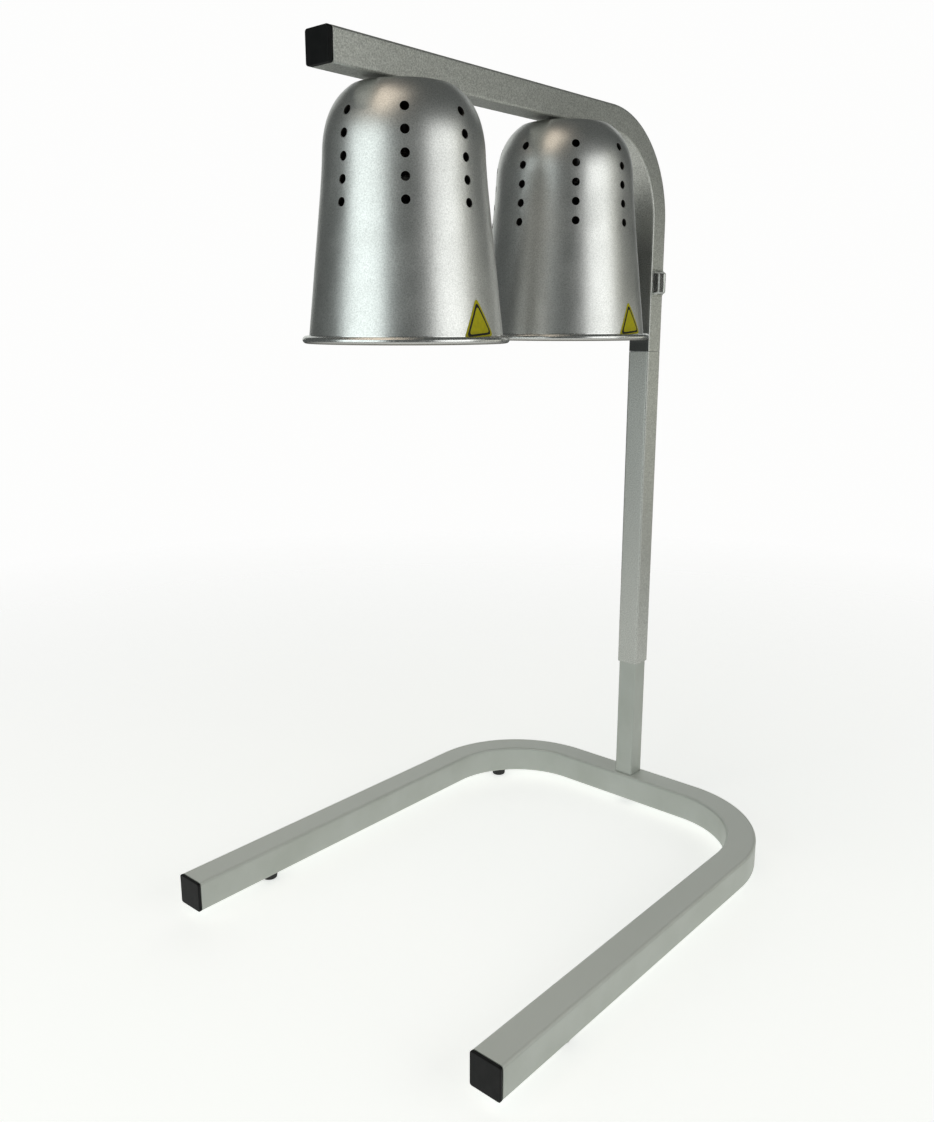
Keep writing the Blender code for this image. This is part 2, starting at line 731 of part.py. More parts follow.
def shade_fixing(place_name, lamp):
    """The threaded tube that hangs the lamp from the arm, with its washer and nut."""
    washer_bottom = SHADE_HEIGHT + GAP
    arm_floor = ARM_Z - COLUMN_FACE - RIM_Z
    washer_top = arm_floor - GAP
    name = "fibre_washer_" + place_name
    sleeve(name, NIPPLE_HOLE, 0.0150, washer_bottom, washer_top, "black rubber", lamp)
    name = "lamp_nipple_" + place_name
    sleeve(name, NIPPLE_BORE, NIPPLE_RADIUS, NIPPLE_BOTTOM, NIPPLE_TOP, "zinc", lamp, steps=16)
    nut_bottom = arm_floor + COLUMN_WALL + GAP
    name = "lamp_locknut_" + place_name
    sleeve(name, NIPPLE_HOLE + 0.0005, 0.0080, nut_bottom, nut_bottom + 0.003, "zinc", lamp, steps=6)


def lampholder(place_name, lamp):
    top = SHADE_HEIGHT - SHADE_WALL - GAP
    body = [
        (NIPPLE_HOLE, top),
        (0.0160, top),
        (0.0200, top - 0.003),
        (HOLDER_RADIUS, top - 0.011),
        (HOLDER_RADIUS, HOLDER_BOTTOM + 0.002),
        (HOLDER_RADIUS - 0.001, HOLDER_BOTTOM),
        (HOLDER_BORE, HOLDER_BOTTOM),
        (HOLDER_BORE, HOLDER_CEILING),
        (NIPPLE_HOLE, HOLDER_CEILING),
    ]
    turned("lampholder_" + place_name, body, "porcelain", lamp, steps=20, ring=True)
    outside = HOLDER_BORE - 2 * GAP
    shell_top = BULB_TIP - 0.0016
    name = "socket_shell_" + place_name
    sleeve(name, outside - 0.0007, outside, HOLDER_BOTTOM + 0.002, shell_top, "brass", lamp)
    contact = [
        (0, HOLDER_CEILING - GAP),
        (0.0040, HOLDER_CEILING - GAP),
        (0.0040, BULB_TIP + GAP),
        (0, BULB_TIP + GAP),
    ]
    turned("socket_contact_" + place_name, contact, "brass", lamp, steps=12)


def bulb_outline():
    """The reflector bulb's glass from the neck to the middle of its face."""
    line = [(BULB_NECK, BULB_CAP_BOTTOM + 0.008)]
    flare_top = HOLDER_BOTTOM
    line.append((BULB_NECK, flare_top + 0.003))
    flare_steps = 5
    for step in range(flare_steps):
        share = step / flare_steps
        spread = math.sin(share * math.pi / 2) ** 1.4
        radius = BULB_NECK + (BULB_RADIUS - BULB_NECK) * spread
        line.append((radius, flare_top + (BULB_WAIST - flare_top) * share))
    face_steps = 4
    for step in range(face_steps):
        angle = step / face_steps * math.pi / 2
        radius = BULB_RADIUS * math.cos(angle) ** 0.7
        line.append((radius, BULB_WAIST + (BULB_BOTTOM - BULB_WAIST) * math.sin(angle)))
    line.append((0, BULB_BOTTOM))
    return line


def bulb(place_name, lamp):
    name = "bulb_glass_" + place_name
    glass = turned(name, bulb_outline(), "lamp glass", lamp, steps=20)
    wall = glass.modifiers.new("wall", "SOLIDIFY")
    wall.thickness = 0.001
    wall.offset = -1.0
    inner = BULB_NECK + GAP
    cap = [
        (0, BULB_TIP),
        (0.0045, BULB_TIP),
        (0.0050, BULB_TIP - 0.001),
        (0.0115, BULB_TIP - 0.0035),
        (BULB_CAP_RADIUS, BULB_TIP - 0.005),
        (BULB_CAP_RADIUS, BULB_CAP_BOTTOM),
        (inner, BULB_CAP_BOTTOM),
        (inner, BULB_TIP - 0.007),
        (0, BULB_TIP - 0.007),
    ]
    turned("bulb_cap_" + place_name, cap, "brass", lamp, steps=16)


def lamps(head):
    for place_name, reach in LAMPS.items():
        lamp = empty("lamp axis " + place_name, (0, reach, RIM_Z), head)
        shade(place_name, lamp)
        shade_fixing(place_name, lamp)
        lampholder(place_name, lamp)
        bulb(place_name, lamp)


# Wiring inside the tubes

def cable(name, points, radius, head):
    """A round cable along a smooth line through the points."""
    curve = bpy.data.curves.new(name, "CURVE")
    curve.dimensions = "3D"
    curve.bevel_depth = radius
    curve.bevel_resolution = 2
    curve.use_fill_caps = True
    spline = curve.splines.new("POLY")
    spline.points.add(len(points) - 1)
    for point, where in zip(spline.points, points):
        point.co = (*where, 1)
    place(name, curve, "white cable", head)


def wiring(head):
    supply_x = -0.004
    turn_radius = 0.0075
    supply = []
    for step in range(6):
        angle = step / 5 * math.pi / 2
        sink = turn_radius * (1 - math.sin(angle))
        rise = turn_radius * (1 - math.cos(angle))
        supply.append((supply_x * step / 5, sink, GLAND_Z + rise))
    supply.append((supply_x, 0, SWITCH_Z - 0.018))
    cable("supply_cable", supply, 0.0028, head)

    lead_x = -0.005
    lead = [(lead_x, 0, SWITCH_Z + 0.017)]
    bend_steps = 8
    for step in range(bend_steps + 1):
        angle = step / bend_steps * math.pi / 2
        y = ARM_BEND * (math.cos(angle) - 1)
        lead.append((lead_x, y, ARM_Z + ARM_BEND * (math.sin(angle) - 1)))
    over_nipples = ARM_Z + 0.0065
    lead.append((lead_x, -ARM_BEND - 0.025, over_nipples))
    lead.append((lead_x, LAMPS["front"] + 0.010, over_nipples))
    cable("lamp_cable", lead, 0.0024, head)


stand_handle = empty("stand", (0, POST_Y, 0))
head_handle = empty("head", (0, POST_Y, 0))

base_frame(stand_handle)
feet(stand_handle)
leg_plugs(stand_handle)
post(stand_handle)
post_fixing(stand_handle)

column(head_handle)
spigot(head_handle)
clamp(head_handle)
gland(head_handle)
arm(head_handle)
switch(head_handle)
lamps(head_handle)
wiring(head_handle)
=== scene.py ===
# %% [markdown]
# # A heat lamp warmer for a serving counter
# The stand is a U of bent square tube with a telescopic post. The arm at the top carries two vented
# aluminium shades that keep food warm. The cells below load the solid model as a fixed frame, then give
# each piece its fine surface and its finish, from the feet up to the lamps.

# %% Load the frame
import json
import math

import bmesh
import bpy
from mathutils import Matrix, Vector


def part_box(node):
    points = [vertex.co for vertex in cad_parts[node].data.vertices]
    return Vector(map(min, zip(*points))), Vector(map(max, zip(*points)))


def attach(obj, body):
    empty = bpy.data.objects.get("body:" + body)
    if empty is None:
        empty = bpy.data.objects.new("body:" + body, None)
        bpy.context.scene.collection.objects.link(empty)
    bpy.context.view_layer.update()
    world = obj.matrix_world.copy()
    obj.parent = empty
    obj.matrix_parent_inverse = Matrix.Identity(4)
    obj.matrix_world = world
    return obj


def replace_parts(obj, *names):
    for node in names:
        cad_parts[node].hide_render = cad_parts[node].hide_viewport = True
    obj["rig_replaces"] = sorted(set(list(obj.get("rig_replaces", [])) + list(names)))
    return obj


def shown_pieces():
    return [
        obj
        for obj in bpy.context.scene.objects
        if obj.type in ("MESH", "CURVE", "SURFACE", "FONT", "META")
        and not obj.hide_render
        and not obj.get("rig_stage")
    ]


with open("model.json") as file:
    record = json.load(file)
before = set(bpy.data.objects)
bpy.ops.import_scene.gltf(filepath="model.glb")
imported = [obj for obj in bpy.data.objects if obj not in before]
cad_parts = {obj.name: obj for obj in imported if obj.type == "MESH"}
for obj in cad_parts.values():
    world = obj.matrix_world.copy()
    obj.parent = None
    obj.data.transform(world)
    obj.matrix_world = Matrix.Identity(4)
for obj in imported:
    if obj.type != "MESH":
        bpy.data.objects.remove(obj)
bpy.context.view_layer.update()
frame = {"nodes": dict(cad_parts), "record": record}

# %% [markdown]
# ## Where things are
# Every place comes from the boxes of the solid pieces, so a finer piece can't drift away from the solid
# that it stands for. Only radii and wall thicknesses are named here, because a box doesn't tell them.

# %% Places and sizes
def middle(node):
    low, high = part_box(node)
    return (Vector(low) + Vector(high)) / 2


def span(node):
    low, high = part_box(node)
    return Vector(high) - Vector(low)


POST_Y = middle("inner_post").y
BASE_TUBE = span("base_frame").z
COLUMN_TUBE = span("column_tube").x
POST_TUBE = span("inner_post").x
BASE_BEND = 0.105
BASE_WALL = 0.0015
BASE_CORNER = 0.0030
ARM_BEND = 0.0914
COLUMN_WALL = 0.0012
COLUMN_CORNER = 0.0024
POST_WALL = 0.0015
POST_CORNER = 0.0021
SMALL_GAP = 0.0003
FOOT_SPOTS = ("front_left", "front_right", "rear_left", "rear_right")
LAMPS = ("front", "rear")
print("post axis y", round(POST_Y, 4))
print("tubes", round(BASE_TUBE, 4), round(COLUMN_TUBE, 4), round(POST_TUBE, 4))

# %% [markdown]
# ## Camera
# The camera stands in front and to the right, at the height of the shades' lower third, and looks 13
# degrees down. A level horizon and a short distance give the strong perspective of the near leg.

# %% Camera
camera_data = bpy.data.cameras.new("camera")
camera = bpy.data.objects.new("camera", camera_data)
bpy.context.scene.collection.objects.link(camera)
camera.location = (0.5952, POST_Y - 0.9748, 0.5636)
camera.rotation_euler = (math.radians(76.648), 0, math.radians(41.105))
camera_data.lens = 32.64
camera_data.clip_start = 0.01
bpy.context.scene.camera = camera
print("camera to post axis:", round((camera.location.xy - Vector((0, POST_Y))).length, 3), "m")

# %% [markdown]
# ## Light and floor
# Satin metal shows its surroundings as soft vertical bands, so the two main lights are tall soft boxes: one
# in front and one to the right, with a darker gap between them. Weaker boxes further round lift the arm, the
# legs and the far edges, and a warm panel overhead lights the crowns.
# The floor is a pale disc that fades out at its edge. The surroundings are pale where they are seen
# straight on and dim where metal reflects them, as in a studio with dark walls and a white sweep.

# %% Surroundings
bpy.context.scene.view_settings.view_transform = "Standard"
FOCUS = Vector((0.0, 0.0, 0.45))
LAMP_LEVEL = Vector((0.0, 0.0, 0.75))
LEG_LEVEL = Vector((0.0, 0.0, 0.4))


def surroundings(seen, reflected):
    world = bpy.data.worlds.new("studio")
    world.use_nodes = True
    bpy.context.scene.world = world
    tree = world.node_tree
    shown = tree.nodes["Background"]
    shown.inputs["Color"].default_value = (*seen, 1)
    dim = tree.nodes.new("ShaderNodeBackground")
    dim.inputs["Color"].default_value = (*reflected, 1)
    path = tree.nodes.new("ShaderNodeLightPath")
    mix = tree.nodes.new("ShaderNodeMixShader")
    tree.links.new(path.outputs["Is Camera Ray"], mix.inputs["Fac"])
    tree.links.new(dim.outputs[0], mix.inputs[1])
    tree.links.new(shown.outputs[0], mix.inputs[2])
    tree.links.new(mix.outputs[0], tree.nodes["World Output"].inputs["Surface"])


surroundings(seen=(0.985, 0.985, 0.98), reflected=(0.085, 0.092, 0.090))

# %% Soft boxes
def soft_box(name, azimuth, distance, height, size, brightness, colour=(1, 1, 1), aim=FOCUS):
    """A rectangular light: azimuth 0 is in front of the stand, 90 on its switch side."""
    data = bpy.data.lights.new(name, "AREA")
    data.shape = "RECTANGLE"
    data.size, data.size_y = size
    data.energy = brightness * math.pi * size[0] * size[1]
    data.color = colour
    light = bpy.data.objects.new(name, data)
    bpy.context.scene.collection.objects.link(light)
    angle = math.radians(azimuth)
    light.location = (distance * math.sin(angle), -distance * math.cos(angle), height)
    light.rotation_euler = (aim - light.location).to_track_quat("-Z", "Y").to_euler()
    light.visible_camera = False
    return light


soft_box("front box", -6, 1.7, 0.80, (1.5, 1.3), 1.60, (0.89, 0.98, 0.98), LAMP_LEVEL)
soft_box("side box", 94, 1.6, 0.80, (1.25, 1.3), 1.42, (0.98, 1.0, 0.99), LAMP_LEVEL)
soft_box("warm panel", -8, 1.0, 2.15, (1.35, 1.25), 1.10, (1.0, 0.86, 0.70))
soft_box("low right fill", 148, 2.2, 0.35, (1.6, 0.8), 0.62, (1.0, 1.0, 0.88), Vector((0, 0, 0.5)))
soft_box("high right fill", 122, 2.2, 1.25, (0.9, 0.9), 0.50, (1.0, 1.0, 0.88), LAMP_LEVEL)
soft_box("back wall", 224, 3.0, 1.45, (3.6, 2.0), 0.78, (0.97, 1.0, 0.97), LEG_LEVEL)

# %% Floor
def pale_floor(radius=4.0):
    bm = bmesh.new()
    bmesh.ops.create_circle(bm, cap_ends=True, segments=96, radius=radius)
    mesh = bpy.data.meshes.new("floor")
    bm.to_mesh(mesh)
    bm.free()
    floor = bpy.data.objects.new("floor", mesh)
    bpy.context.scene.collection.objects.link(floor)
    paper = bpy.data.materials.new("floor paper")
    paper.use_nodes = True
    tree = paper.node_tree
    shader = tree.nodes["Principled BSDF"]
    shader.inputs["Base Color"].default_value = (0.80, 0.80, 0.79, 1)
    shader.inputs["Roughness"].default_value = 0.9
    shader.inputs["Specular IOR Level"].default_value = 0.0
    shader.inputs["Emission Color"].default_value = (0.99, 1.0, 0.985, 1)
    shader.inputs["Emission Strength"].default_value = 0.62
    place = tree.nodes.new("ShaderNodeTexCoord")
    length = tree.nodes.new("ShaderNodeVectorMath")
    length.operation = "LENGTH"
    fade = tree.nodes.new("ShaderNodeMapRange")
    fade.inputs["From Min"].default_value = 0.10 * radius
    fade.inputs["From Max"].default_value = 0.45 * radius
    fade.inputs["To Min"].default_value = 1.0
    fade.inputs["To Max"].default_value = 0.0
    tree.links.new(place.outputs["Object"], length.inputs[0])
    tree.links.new(length.outputs["Value"], fade.inputs["Value"])
    tree.links.new(fade.outputs["Result"], shader.inputs["Alpha"])
    mesh.materials.append(paper)
    floor.location.z = -0.0005
    floor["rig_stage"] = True
    return floor


print("floor:", pale_floor().dimensions)

# %% [markdown]
# ## How a finish is put together
# Each finish is one Principled shader. What is the same all over is set on its sockets. What varies, such as
# the sparkle of the paint, comes from noise in the piece's own coordinates, so its grain has a real size
# in millimetres and moves with the piece.

# %% Helpers for finishes
class Finish:
    """A material under construction, with short ways to vary its sockets."""

    def __init__(self, name, colour, metallic=0.0, roughness=0.5, **sockets):
        self.material = bpy.data.materials.new(name)
        self.material.use_nodes = True
        self.tree = self.material.node_tree
        self.shader = self.tree.nodes["Principled BSDF"]
        self.put("Base Color", (*colour, 1.0))
        self.put("Metallic", metallic)
        self.put("Roughness", roughness)
        for socket, value in sockets.items():
            self.put(socket.replace("_", " "), value)

    def put(self, socket, value):
        self.shader.inputs[socket].default_value = value

    def noise(self, grain, detail=2.0, stretch=(1.0, 1.0, 1.0)):
        """Noise whose grain is given in metres."""
        place = self.tree.nodes.new("ShaderNodeTexCoord")
        mapping = self.tree.nodes.new("ShaderNodeMapping")
        mapping.inputs["Scale"].default_value = stretch
        texture = self.tree.nodes.new("ShaderNodeTexNoise")
        texture.inputs["Scale"].default_value = 1.0 / grain
        texture.inputs["Detail"].default_value = detail
        self.tree.links.new(place.outputs["Object"], mapping.inputs["Vector"])
        self.tree.links.new(mapping.outputs["Vector"], texture.inputs["Vector"])
        return texture.outputs["Fac"]

    def place(self, axis):
        """One coordinate of the piece itself, in metres."""
        return self.part("ShaderNodeTexCoord", "Object", axis)

    def part(self, kind, output, axis):
        source = self.tree.nodes.new(kind)
        split = self.tree.nodes.new("ShaderNodeSeparateXYZ")
        self.tree.links.new(source.outputs[output], split.inputs["Vector"])
        return split.outputs[axis]

    def ramp(self, source, start, end, low=0.0, high=1.0):
        """A value that goes from low to high while the source goes from start to end."""
        change = self.tree.nodes.new("ShaderNodeMapRange")
        settings = {"From Min": start, "From Max": end, "To Min": low, "To Max": high}
        for socket, value in settings.items():
            change.inputs[socket].default_value = value
        self.tree.links.new(source, change.inputs["Value"])
        return change.outputs["Result"]

    def combine(self, operation, first, second):
        node = self.tree.nodes.new("ShaderNodeMath")
        node.operation = operation
        self.tree.links.new(first, node.inputs[0])
        self.tree.links.new(second, node.inputs[1])
        return node.outputs[0]

    def vary(self, source, socket, low, high):
        self.tree.links.new(self.ramp(source, 0.3, 0.7, low, high), self.shader.inputs[socket])

    def cover(self, amount, colour):
        """Lay another colour over the one there, as thickly as amount says."""
        under = self.shader.inputs["Base Color"].links[0].from_socket
        mix = self.tree.nodes.new("ShaderNodeMix")
        mix.data_type = "RGBA"
        mix.inputs["B"].default_value = (*colour, 1.0)
        self.tree.links.new(amount, mix.inputs["Factor"])
        self.tree.links.new(under, mix.inputs["A"])
        self.tree.links.new(mix.outputs["Result"], self.shader.inputs["Base Color"])

    def tint(self, source, dark, light):
        ramp = self.tree.nodes.new("ShaderNodeValToRGB")
        ramp.color_ramp.elements[0].position = 0.32
        ramp.color_ramp.elements[0].color = (*dark, 1.0)
        ramp.color_ramp.elements[1].position = 0.68
        ramp.color_ramp.elements[1].color = (*light, 1.0)
        self.tree.links.new(source, ramp.inputs["Fac"])
        self.tree.links.new(ramp.outputs["Color"], self.shader.inputs["Base Color"])

    def bump(self, source, height):
        bump = self.tree.nodes.new("ShaderNodeBump")
        bump.inputs["Distance"].default_value = height
        self.tree.links.new(source, bump.inputs["Height"])
        socket = self.shader.inputs["Normal"]
        if socket.links:
            self.tree.links.new(socket.links[0].from_socket, bump.inputs["Normal"])
        self.tree.links.new(bump.outputs["Normal"], socket)


# %% [markdown]
# ## Silver paint
# The tubes have a sprayed silver coat: fine metal flakes in a clear binder. It is neither mirror-like nor
# plain grey, so it is partly metallic, with a sparkle of about a millimetre and a faint orange peel.

# %% Silver paint
def silver_paint(name):
    coat = Finish(name, (0.44, 0.45, 0.42), metallic=0.82, roughness=0.40)
    flakes = coat.noise(0.0011, detail=3.0)
    coat.tint(flakes, (0.38, 0.385, 0.36), (0.70, 0.71, 0.67))
    coat.vary(coat.noise(0.0016), "Roughness", 0.34, 0.50)
    coat.bump(coat.noise(0.0009, detail=1.0), 0.00006)
    coat.bump(coat.noise(0.012, detail=1.0), 0.00008)
    return coat


def base_paint():
    """The duller coat of the base and the post, with painted light: faces that look up are made paler."""
    coat = Finish("base paint", (0.46, 0.485, 0.445), metallic=0.25, roughness=0.50)
    clouds = coat.noise(0.045, detail=3.0)
    coat.tint(clouds, (0.435, 0.460, 0.415), (0.485, 0.510, 0.470))
    coat.vary(coat.noise(0.0012, detail=2.0), "Roughness", 0.46, 0.56)
    coat.bump(coat.noise(0.0008, detail=1.0), 0.000025)
    # painted light: the more a face looks up, the paler it is made
    upward = coat.part("ShaderNodeNewGeometry", "Normal", "Z")
    coat.cover(coat.ramp(upward, 0.30, 0.98, high=0.75), (0.86, 0.88, 0.83))
    return coat.material


def arm_paint():
    """Silver paint with painted shade low on the inner face, where the rear shade is reflected dark."""
    coat = silver_paint("arm paint")
    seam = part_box("arm_tube")[0][2]
    face = POST_Y - COLUMN_TUBE / 2
    height = coat.place("Z")
    # painted shade, darkest just above the seam
    painted_shade_upper = coat.ramp(height, seam + 0.150, seam + 0.100, high=0.62)
    darkest = coat.ramp(height, seam + 0.030, seam + 0.008, high=0.26)
    inner_face = coat.ramp(coat.place("Y"), face + 0.00081, face + 0.00079)
    painted_shade_sum = coat.combine("ADD", painted_shade_upper, darkest)
    coat.cover(coat.combine("MULTIPLY", painted_shade_sum, inner_face), (0.015, 0.017, 0.018))
    return coat.material


SILVER_PAINT = silver_paint("silver paint").material
ARM_PAINT = arm_paint()
BASE_PAINT = base_paint()
print("finishes:", SILVER_PAINT.name, ARM_PAINT.name, BASE_PAINT.name)

# %% [markdown]
# ## Spun and blasted aluminium
# The shades are spun from sheet, then blasted and anodised, so no turning lines are left: only a dense
# satin grain that spreads the highlights sideways. Faint broad clouds keep the large surface from looking
# computed. Inside, they are painted near black as shade. The rolled edge is rubbed smoother and carries
# painted shade along its underside. The vents' edges are bare metal with a painted highlight.

# %% Satin aluminium
def satin_aluminium():
    skin = Finish("satin aluminium", (0.72, 0.72, 0.70), metallic=1.0, roughness=0.36)
    grain = skin.noise(0.0010, detail=3.0)
    skin.tint(grain, (0.60, 0.60, 0.58), (0.84, 0.84, 0.82))
    skin.vary(skin.noise(0.030, detail=2.0), "Roughness", 0.33, 0.40)
    skin.bump(skin.noise(0.0008, detail=1.0), 0.00007)
    return skin.material


def painted_shade_inside():
    """The inside of a shade, painted near black as shade, dull and mottled."""
    skin = Finish("painted shade inside", (0.05, 0.046, 0.040), metallic=0.3, roughness=0.66)
    inside_mottle = skin.noise(0.018, detail=4.0)
    skin.tint(inside_mottle, (0.030, 0.027, 0.023), (0.085, 0.079, 0.068))
    skin.vary(inside_mottle, "Roughness", 0.52, 0.72)
    skin.bump(skin.noise(0.0012), 0.00004)
    return skin.material


def burnished_rim():
    """The rolled edge, rubbed smoother than the skirt, with painted shade along the underside of the bead.
    """
    skin = Finish("burnished rim", (0.70, 0.70, 0.68), metallic=1.0, roughness=0.24)
    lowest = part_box("shade_front")[0][2]
    # painted shade: darker towards the bottom of the bead
    bead_painted_shade = skin.ramp(skin.place("Z"), lowest + 0.0002, lowest + 0.0022, 0.2, 0.7)
    skin.tint(bead_painted_shade, (0.16, 0.15, 0.13), (0.74, 0.74, 0.72))
    skin.vary(skin.noise(0.004, detail=3.0), "Roughness", 0.20, 0.32)
    skin.bump(skin.noise(0.0060, detail=1.0), 0.00002)
    return skin.material


def cut_edge_and_highlight():
    """Bare metal where the vents were punched through the satin skin, made brighter as a painted highlight.
    """
    skin = Finish("cut edge and highlight", (0.80, 0.80, 0.78), metallic=0.85, roughness=0.30)
    skin.tint(skin.noise(0.0008, detail=2.0), (0.62, 0.62, 0.60), (0.92, 0.92, 0.90))
    skin.bump(skin.noise(0.0006), 0.00003)
    return skin.material


SATIN_ALUMINIUM = satin_aluminium()
PAINTED_SHADE_INSIDE = painted_shade_inside()
BURNISHED_RIM = burnished_rim()
CUT_EDGE_AND_HIGHLIGHT = cut_edge_and_highlight()
print("finishes:", SATIN_ALUMINIUM.name, PAINTED_SHADE_INSIDE.name, BURNISHED_RIM.name, CUT_EDGE_AND_HIGHLIGHT.name)

# %% [markdown]
# ## Small metal parts
# Screws, nuts and inner fittings are zinc plated: a bluish grey with cloudy patches. Brass is used where
# current flows, with the brown haze that warm brass gets.

# %% Zinc and brass
def zinc_plate():
    plate = Finish("zinc plate", (0.60, 0.61, 0.62), metallic=1.0, roughness=0.32)
    clouds = plate.noise(0.006, detail=4.0)
    plate.tint(clouds, (0.50, 0.51, 0.52), (0.68, 0.69, 0.71))
    plate.vary(clouds, "Roughness", 0.26, 0.42)
    plate.bump(plate.noise(0.0006), 0.00002)
    return plate.material


def warm_brass():
    metal = Finish("warm brass", (0.62, 0.46, 0.22), metallic=1.0, roughness=0.30)
    haze = metal.noise(0.005, detail=4.0)
    metal.tint(haze, (0.42, 0.30, 0.14), (0.70, 0.54, 0.28))
    metal.vary(haze, "Roughness", 0.24, 0.45)
    return metal.material


ZINC_PLATE = zinc_plate()
WARM_BRASS = warm_brass()
print("finishes:", ZINC_PLATE.name, WARM_BRASS.name)

# %% [markdown]
# ## Plastics, rubber and porcelain
# End plugs and the switch are moulded black plastic with a spark-eroded grain. The feet and the bushing are
# dull rubber that holds some dust. The lampholders are porcelain under a glaze painted near black as shade,
# slightly uneven, so hardly anything shows through the vents.

# %% Plastics, rubber and porcelain
def moulded_black():
    plastic = Finish("moulded black", (0.005, 0.0055, 0.0055), roughness=0.55, IOR=1.25)
    texture = plastic.noise(0.0007, detail=2.0)
    plastic.tint(plastic.noise(0.009, detail=3.0), (0.003, 0.0035, 0.0035), (0.007, 0.0075, 0.0075))
    plastic.vary(texture, "Roughness", 0.44, 0.62)
    plastic.bump(texture, 0.00008)
    return plastic.material


def dull_rubber():
    rubber = Finish("dull rubber", (0.018, 0.018, 0.018), roughness=0.8)
    dust = rubber.noise(0.004, detail=5.0)
    rubber.tint(dust, (0.010, 0.010, 0.010), (0.040, 0.039, 0.037))
    rubber.vary(dust, "Roughness", 0.70, 0.92)
    rubber.bump(rubber.noise(0.0012), 0.0001)
    return rubber.material


def shade_dark_porcelain():
    # painted shade: the holder is near black so the vents look dark
    glaze = Finish("porcelain painted dark as shade", (0.030, 0.020, 0.014), roughness=0.25, Coat_Weight=0.4)
    pool = glaze.noise(0.014, detail=3.0)
    glaze.tint(pool, (0.020, 0.013, 0.009), (0.045, 0.031, 0.022))
    glaze.bump(pool, 0.0003)
    return glaze.material


MOULDED_BLACK = moulded_black()
DULL_RUBBER = dull_rubber()
SHADE_DARK_PORCELAIN = shade_dark_porcelain()
print("finishes:", MOULDED_BLACK.name, DULL_RUBBER.name, SHADE_DARK_PORCELAIN.name)

# %% [markdown]
# ## Clear and printed surfaces
# The switch wears a clear silicone cap, whose rounded corners are made whitish as a painted highlight. The
# bulbs are silvered inside above their widest line and frosted below it. The stickers are printed vinyl.

# %% Silicone, bulb glass and vinyl
def clear_silicone():
    silicone = Finish(
        "clear silicone", (0.93, 0.94, 0.92), roughness=0.06, Transmission_Weight=0.95, IOR=1.20
    )
    smear = silicone.noise(0.004, detail=3.0)
    silicone.vary(smear, "Roughness", 0.04, 0.12)
    silicone.bump(smear, 0.00006)
    return silicone.material


def highlight_edge():
    """The rounded corners of the cap, made whitish as a painted highlight."""
    edge = Finish(
        "painted highlight edge", (0.80, 0.82, 0.79), roughness=0.22, Transmission_Weight=0.35, IOR=1.41
    )
    cloud = edge.noise(0.0025, detail=3.0)
    edge.tint(cloud, (0.70, 0.72, 0.69), (0.88, 0.90, 0.87))
    edge.vary(cloud, "Roughness", 0.16, 0.30)
    edge.bump(cloud, 0.00004)
    return edge.material


def silvered_glass():
    glass = Finish("silvered glass", (0.80, 0.80, 0.79), metallic=1.0, roughness=0.12, Coat_Weight=0.6)
    film = glass.noise(0.020, detail=3.0)
    glass.tint(film, (0.70, 0.70, 0.69), (0.86, 0.86, 0.85))
    glass.vary(film, "Roughness", 0.08, 0.20)
    return glass.material


def frosted_glass():
    glass = Finish("frosted glass", (0.80, 0.81, 0.80), roughness=0.45, Coat_Weight=0.7)
    etch = glass.noise(0.0015, detail=2.0)
    glass.tint(glass.noise(0.03, detail=2.0), (0.66, 0.67, 0.66), (0.84, 0.85, 0.84))
    glass.vary(etch, "Roughness", 0.35, 0.55)
    glass.bump(etch, 0.00004)
    return glass.material


def vinyl(name, dark, light):
    film = Finish(name, light, roughness=0.50, IOR=1.30)
    ink = film.noise(0.0025, detail=3.0)
    film.tint(ink, dark, light)
    film.vary(ink, "Roughness", 0.44, 0.58)
    return film.material


CLEAR_SILICONE = clear_silicone()
HIGHLIGHT_EDGE = highlight_edge()
SILVERED_GLASS = silvered_glass()
FROSTED_GLASS = frosted_glass()
YELLOW_VINYL = vinyl("yellow vinyl", (0.42, 0.375, 0.001), (0.52, 0.465, 0.002))
DARK_INK = vinyl("dark ink", (0.008, 0.008, 0.006), (0.020, 0.019, 0.014))
print("finishes:", CLEAR_SILICONE.name, HIGHLIGHT_EDGE.name, SILVERED_GLASS.name)
print("finishes:", FROSTED_GLASS.name, YELLOW_VINYL.name, DARK_INK.name)

# %% [markdown]
# ## Helpers for pieces
# A piece is modelled in place, in metres. Its modifiers are then settled into the mesh, because only a
# finished mesh knows which of its edges are sharp. The weighted normals keep flat faces flat where they
# run into small roundings.

# %% Helpers for pieces
def add(name, mesh):
    piece = bpy.data.objects.new(name, mesh)
    bpy.context.scene.collection.objects.link(piece)
    return piece


def mesh_from(name, bm):
    mesh = bpy.data.meshes.new(name)
    bm.to_mesh(mesh)
    bm.free()
    return mesh


def settle(piece, sharp=38.0, weighted=True):
    """Apply the modifiers, mark sharp edges and shade the rest smooth."""
    bpy.context.view_layer.update()
    graph = bpy.context.evaluated_depsgraph_get()
    mesh = bpy.data.meshes.new_from_object(piece.evaluated_get(graph))
    piece.modifiers.clear()
    piece.data = mesh
    mesh.shade_smooth()
    mesh.set_sharp_from_angle(angle=math.radians(sharp))
    if weighted:
        piece.modifiers.new("weighted normals", "WEIGHTED_NORMAL").keep_sharp = True
    return piece


def dress(piece, body, slot, finish, *nodes):
    """Give a piece its finish, its body and the solid nodes that it stands for."""
    piece.data.materials.clear()
    piece.data.materials.append(finish)
    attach(piece, body)
    if nodes:
        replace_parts(piece, *nodes)
    return piece


def cut_away(piece, bm, solver="EXACT"):
    """Cut a closed mesh out of the piece and drop the cutter."""
    tool = add("cutter", mesh_from("cutter", bm))
    modifier = piece.modifiers.new("cut", "BOOLEAN")
    modifier.operation = "DIFFERENCE"
    modifier.solver = solver
    modifier.object = tool
    settle(piece)
    bpy.data.objects.remove(tool, do_unlink=True)


